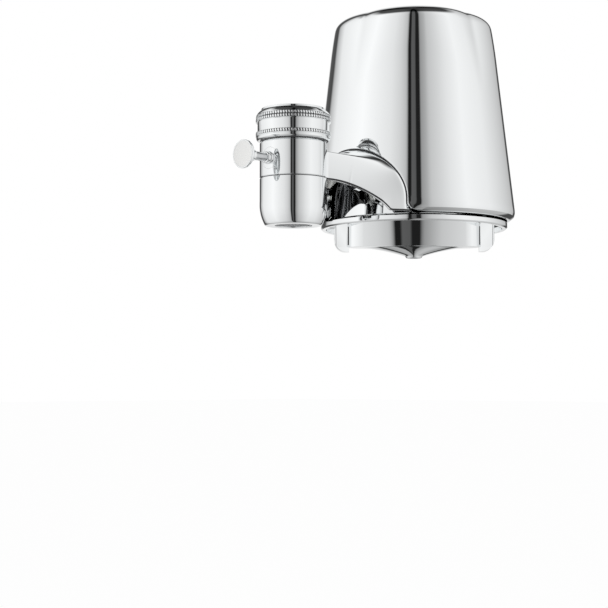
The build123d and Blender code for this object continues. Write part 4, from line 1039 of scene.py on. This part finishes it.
def makeCapMould():
    # merged copy of the moulded cap, its recess deepened and its edges eased
    c = cap
    mesh = bpy.data.meshes.new("capMould")
    bm = bmesh.new()
    bm.from_mesh(nodes["bottom_cap"].data)
    bmesh.ops.remove_doubles(bm, verts=bm.verts, dist=c["mergeDistance"])
    bmesh.ops.dissolve_limit(bm, angle_limit=radians(c["flatAngle"]), verts=bm.verts, edges=bm.edges)
    for vert in bm.verts:
        z = vert.co.z / mm
        r = hypot(vert.co.x / mm - c["axisX"], vert.co.y / mm)
        if abs(z - c["ceilingZ"]) < c["nearZ"] and r < c["ceilingRadius"] + 0.1:
            share = (c["ceilingRadius"] - r) / (c["ceilingRadius"] - c["innerRadius"])
            vert.co.z = (c["outerCeilingZ"] + c["rise"] * share) * mm
        elif abs(z - c["plateTopZ"]) < c["nearZ"] and r < c["wellRadius"]:
            vert.co.z = (c["plateTopZ"] + c["rise"]) * mm
    bmesh.ops.triangulate(bm, faces=[f for f in bm.faces if len(f.verts) > 4])
    bm.to_mesh(mesh)
    bm.free()
    mesh.set_sharp_from_angle(angle=radians(c["edgeAngle"]))
    raw = link(bpy.data.objects.new("capMould", mesh))
    ease = raw.modifiers.new("easedEdges", "BEVEL")
    ease.limit_method = "ANGLE"
    ease.angle_limit = radians(c["edgeAngle"])
    ease.width = c["edge"] * mm
    ease.segments = c["edgeSteps"]
    ease.use_clamp_overlap = True
    plain = evaluatedMesh(raw)
    plain.shade_smooth()
    plain.set_sharp_from_angle(angle=radians(c["edgeAngle"]))
    obj = link(bpy.data.objects.new("capMould", plain))
    finishPiece(obj, "cap", materials["chromeShell"], "chrome", "bottom_cap")
    print("cap made:", len(obj.data.polygons), "faces")


def makeGripGapShades():
    # painted shade: narrow dark strips where the grip's bar meets its two tabs
    c = cap
    gaps = []
    turn = Matrix.Translation(Vector((c["axisX"], 0, 0))) @ Matrix.Rotation(radians(c["gripAngle"]), 4, "Z")
    for end in (-1, 1):
        for side in (-1, 1):
            corners = []
            for z in (c["gapLow"], c["gapHigh"]):
                for x, y in c["gapSection"]:
                    corners.append(turn @ Vector((end * x, side * y, z)))
            sides = [(k, (k + 1) % 4, (k + 1) % 4 + 4, k + 4) for k in range(4)]
            gaps.append(meshObject("gripGapShade", corners, [(0, 1, 2, 3), (7, 6, 5, 4)] + sides, c["gapSharpAngle"]))
    shade = joinObjects("gripGapShades", gaps, c["gapSharpAngle"])
    finishPiece(shade, "cap", materials["shadeBlack"], "chrome")


makeCapMould()
makeGripGapShades()

# the studio: floor, reflecting screen, lamp, world and camera

studio = {
    "floorHeight": -0.42, "floorSize": 40, "floorColour": 0.9, "floorGlow": 0.94, "screenRadius": 1.2,
    "screenLift": 0.005, "centre": (0.037, 0, 0), "cameraBearing": 223.0,
    "screenSegments": (96, 64), "lens": 85.44, "sensorWidth": 36, "clip": (0.01, 100),
    "cameraPlace": (-0.4029, -0.4089, -0.105), "cameraTurn": 45, "cameraTilt": 3.13,
    "diffuseLevel": 0.85, "keyPower": 6.0, "keyPlace": (-0.5, -0.9, 1.1), "keyTarget": (0.04, 0, 0), "keySize": 0.7,
}

# greys of the screen by bearing from the camera's side, in degrees to the right
sideTones = [
    (-180, 0.86), (-170, 0.70), (-163, 0.10), (-143, 0.07), (-137, 0.50), (-119, 0.90),
    (-70, 1.06), (-30, 0.84), (-18, 0.70), (-11, 0.56), (-8.6, 0.42), (-8, 0.012), (-3.6, 0.012),
    (-3, 0.11), (1.5, 0.10), (2.2, 0.014), (7.2, 0.014), (9, 0.30), (20, 0.60), (32, 0.72), (43, 0.84),
    (62, 0.98), (93, 0.90), (110, 0.78), (131, 0.64), (148, 0.52), (151, 0.07), (162, 0.07), (167, 0.7),
    (180, 0.86),
]
heightTones = [(-90, 0.32), (-72, 0.45), (-50, 0.78), (-25, 0.94), (-8, 1.0), (50, 1.0), (60, 0.08), (90, 0.05)]


def toneRamp(tree, stops, low, high):
    # grey ramp with its stops given as (angle, tone)
    ramp = tree.new("ShaderNodeValToRGB")
    ramp.color_ramp.interpolation = "LINEAR"
    points = ramp.color_ramp.elements
    while len(points) < len(stops):
        points.new(0.5)
    for point, (angle, tone) in zip(points, sorted(stops)):
        point.position = (angle - low) / (high - low)
    for point, (angle, tone) in zip(points, sorted(stops)):
        point.color = (tone, tone, tone, 1)
    return ramp


def screenMaterial():
    # glow whose grey depends on the bearing and the height seen from the middle of the studio
    material = bpy.data.materials.new("screenTones")
    material.use_nodes = True
    tree = material.node_tree.nodes
    wires = material.node_tree.links
    tree.clear()
    place = tree.new("ShaderNodeTexCoord")
    turn = newNode(tree, "ShaderNodeMapping",
                   {"Rotation": (0, 0, -radians(studio["cameraBearing"]))}, vector_type="POINT")
    split = tree.new("ShaderNodeSeparateXYZ")
    bearing = newNode(tree, "ShaderNodeMath", operation="ARCTAN2")
    reach = newNode(tree, "ShaderNodeVectorMath", operation="LENGTH")
    rise = newNode(tree, "ShaderNodeMath", operation="DIVIDE")
    lift = newNode(tree, "ShaderNodeMath", operation="ARCSINE")
    toSide = newNode(tree, "ShaderNodeMapRange", {"From Min": -pi, "From Max": pi})
    toHeight = newNode(tree, "ShaderNodeMapRange", {"From Min": -pi / 2, "From Max": pi / 2})
    sideRamp = toneRamp(tree, sideTones, -180, 180)
    heightRamp = toneRamp(tree, heightTones, -90, 90)
    both = newNode(tree, "ShaderNodeMix", {"Factor": 1}, data_type="RGBA", blend_type="MULTIPLY")
    glow = tree.new("ShaderNodeEmission")
    out = tree.new("ShaderNodeOutputMaterial")
    wireNodes(wires, (place, "Object", turn, "Vector"), (turn, "Vector", split, "Vector"),
              (split, "Y", bearing, 0), (split, "X", bearing, 1), (turn, "Vector", reach, 0),
              (split, "Z", rise, 0), (reach, "Value", rise, 1), (rise, 0, lift, 0),
              (bearing, 0, toSide, "Value"), (lift, 0, toHeight, "Value"), (toSide, "Result", sideRamp, "Fac"),
              (toHeight, "Result", heightRamp, "Fac"), (sideRamp, "Color", both, "A"),
              (heightRamp, "Color", both, "B"), (both, "Result", glow, "Color"),
              (glow, "Emission", out, "Surface"))
    return material


def makeScreen():
    # domed screen of soft greys round the object, which only its reflections show
    radius = studio["screenRadius"]
    mesh = bpy.data.meshes.new("studioScreen")
    bm = bmesh.new()
    around, upward = studio["screenSegments"]
    bmesh.ops.create_uvsphere(bm, u_segments=around, v_segments=upward, radius=radius)
    low = studio["floorHeight"] + studio["screenLift"]
    for vert in bm.verts:
        vert.co.z = max(vert.co.z, low)
    bm.to_mesh(mesh)
    bm.free()
    mesh.materials.append(screenMaterial())
    screen = link(bpy.data.objects.new("studioScreen", mesh))
    screen.location = studio["centre"]
    screen.visible_camera = False
    screen.visible_diffuse = False
    screen.visible_shadow = False
    screen.visible_transmission = False
    return screen


def seenMask(tree, wires):
    # 1 for camera, glossy and transmission rays, 0 for the others
    path = tree.new("ShaderNodeLightPath")
    seen = newNode(tree, "ShaderNodeMath", operation="MAXIMUM")
    seenToo = newNode(tree, "ShaderNodeMath", operation="MAXIMUM")
    wireNodes(wires, (path, "Is Camera Ray", seen, 0), (path, "Is Glossy Ray", seen, 1), (seen, 0, seenToo, 0),
              (path, "Is Transmission Ray", seenToo, 1))
    return seenToo.outputs[0]


def makeFloor():
    # pale floor that takes the object's shadow
    half = studio["floorSize"] / 2
    mesh = bpy.data.meshes.new("studioFloor")
    mesh.from_pydata([(-half, -half, 0), (half, -half, 0), (half, half, 0), (-half, half, 0)], [], [(0, 1, 2, 3)])
    floor = link(bpy.data.objects.new("studioFloor", mesh))
    floor.location = (0, 0, studio["floorHeight"])
    material = bpy.data.materials.new("paleFloor")
    material.use_nodes = True
    tree = material.node_tree.nodes
    wires = material.node_tree.links
    tree.clear()
    matt = newNode(tree, "ShaderNodeBsdfDiffuse", {"Color": (studio["floorColour"],) * 3 + (1,)})
    glow = newNode(tree, "ShaderNodeEmission", {"Color": (1, 1, 1, 1)})
    share = newNode(tree, "ShaderNodeMath", {1: studio["floorGlow"]}, operation="MULTIPLY")
    mix = tree.new("ShaderNodeMixShader")
    out = tree.new("ShaderNodeOutputMaterial")
    wires.new(seenMask(tree, wires), share.inputs[0])
    wireNodes(wires, (share, 0, mix, "Fac"), (matt, "BSDF", mix, 1), (glow, "Emission", mix, 2),
              (mix, "Shader", out, "Surface"))
    mesh.materials.append(material)
    return floor


def makeWorld():
    # white where it is seen, a little dimmer as a light
    world = bpy.data.worlds.new("whiteStudio")
    scene.world = world
    world.use_nodes = True
    tree = world.node_tree.nodes
    wires = world.node_tree.links
    tree.clear()
    level = newNode(tree, "ShaderNodeMapRange", {"To Min": studio["diffuseLevel"], "To Max": 1})
    sky = newNode(tree, "ShaderNodeBackground", {"Color": (1, 1, 1, 1)})
    out = tree.new("ShaderNodeOutputWorld")
    wires.new(seenMask(tree, wires), level.inputs["Value"])
    wireNodes(wires, (level, "Result", sky, "Strength"), (sky, "Background", out, "Surface"))


def makeKeyLamp():
    lamp = bpy.data.lights.new("keyLamp", "AREA")
    lamp.shape = "RECTANGLE"
    lamp.size = lamp.size_y = studio["keySize"]
    lamp.energy = studio["keyPower"]
    obj = link(bpy.data.objects.new("keyLamp", lamp))
    obj.location = studio["keyPlace"]
    obj.rotation_mode = "QUATERNION"
    obj.rotation_quaternion = (Vector(studio["keyTarget"]) - obj.location).to_track_quat("-Z", "Y")
    obj.visible_glossy = False


def makeCamera():
    data = bpy.data.cameras.new("photoCamera")
    data.lens = studio["lens"]
    data.sensor_width = studio["sensorWidth"]
    data.clip_start, data.clip_end = studio["clip"]
    camera = link(bpy.data.objects.new("photoCamera", data))
    camera.location = studio["cameraPlace"]
    tilt = radians(studio["cameraTilt"])
    turn = radians(studio["cameraTurn"])
    look = Vector((cos(tilt) * cos(turn), cos(tilt) * sin(turn), sin(tilt)))
    camera.rotation_mode = "QUATERNION"
    camera.rotation_quaternion = look.to_track_quat("-Z", "Y")
    scene.camera = camera


screen = makeScreen()
floor = makeFloor()
makeWorld()
makeKeyLamp()
makeCamera()
scene.view_settings.view_transform = "Standard"
print("studio ready")
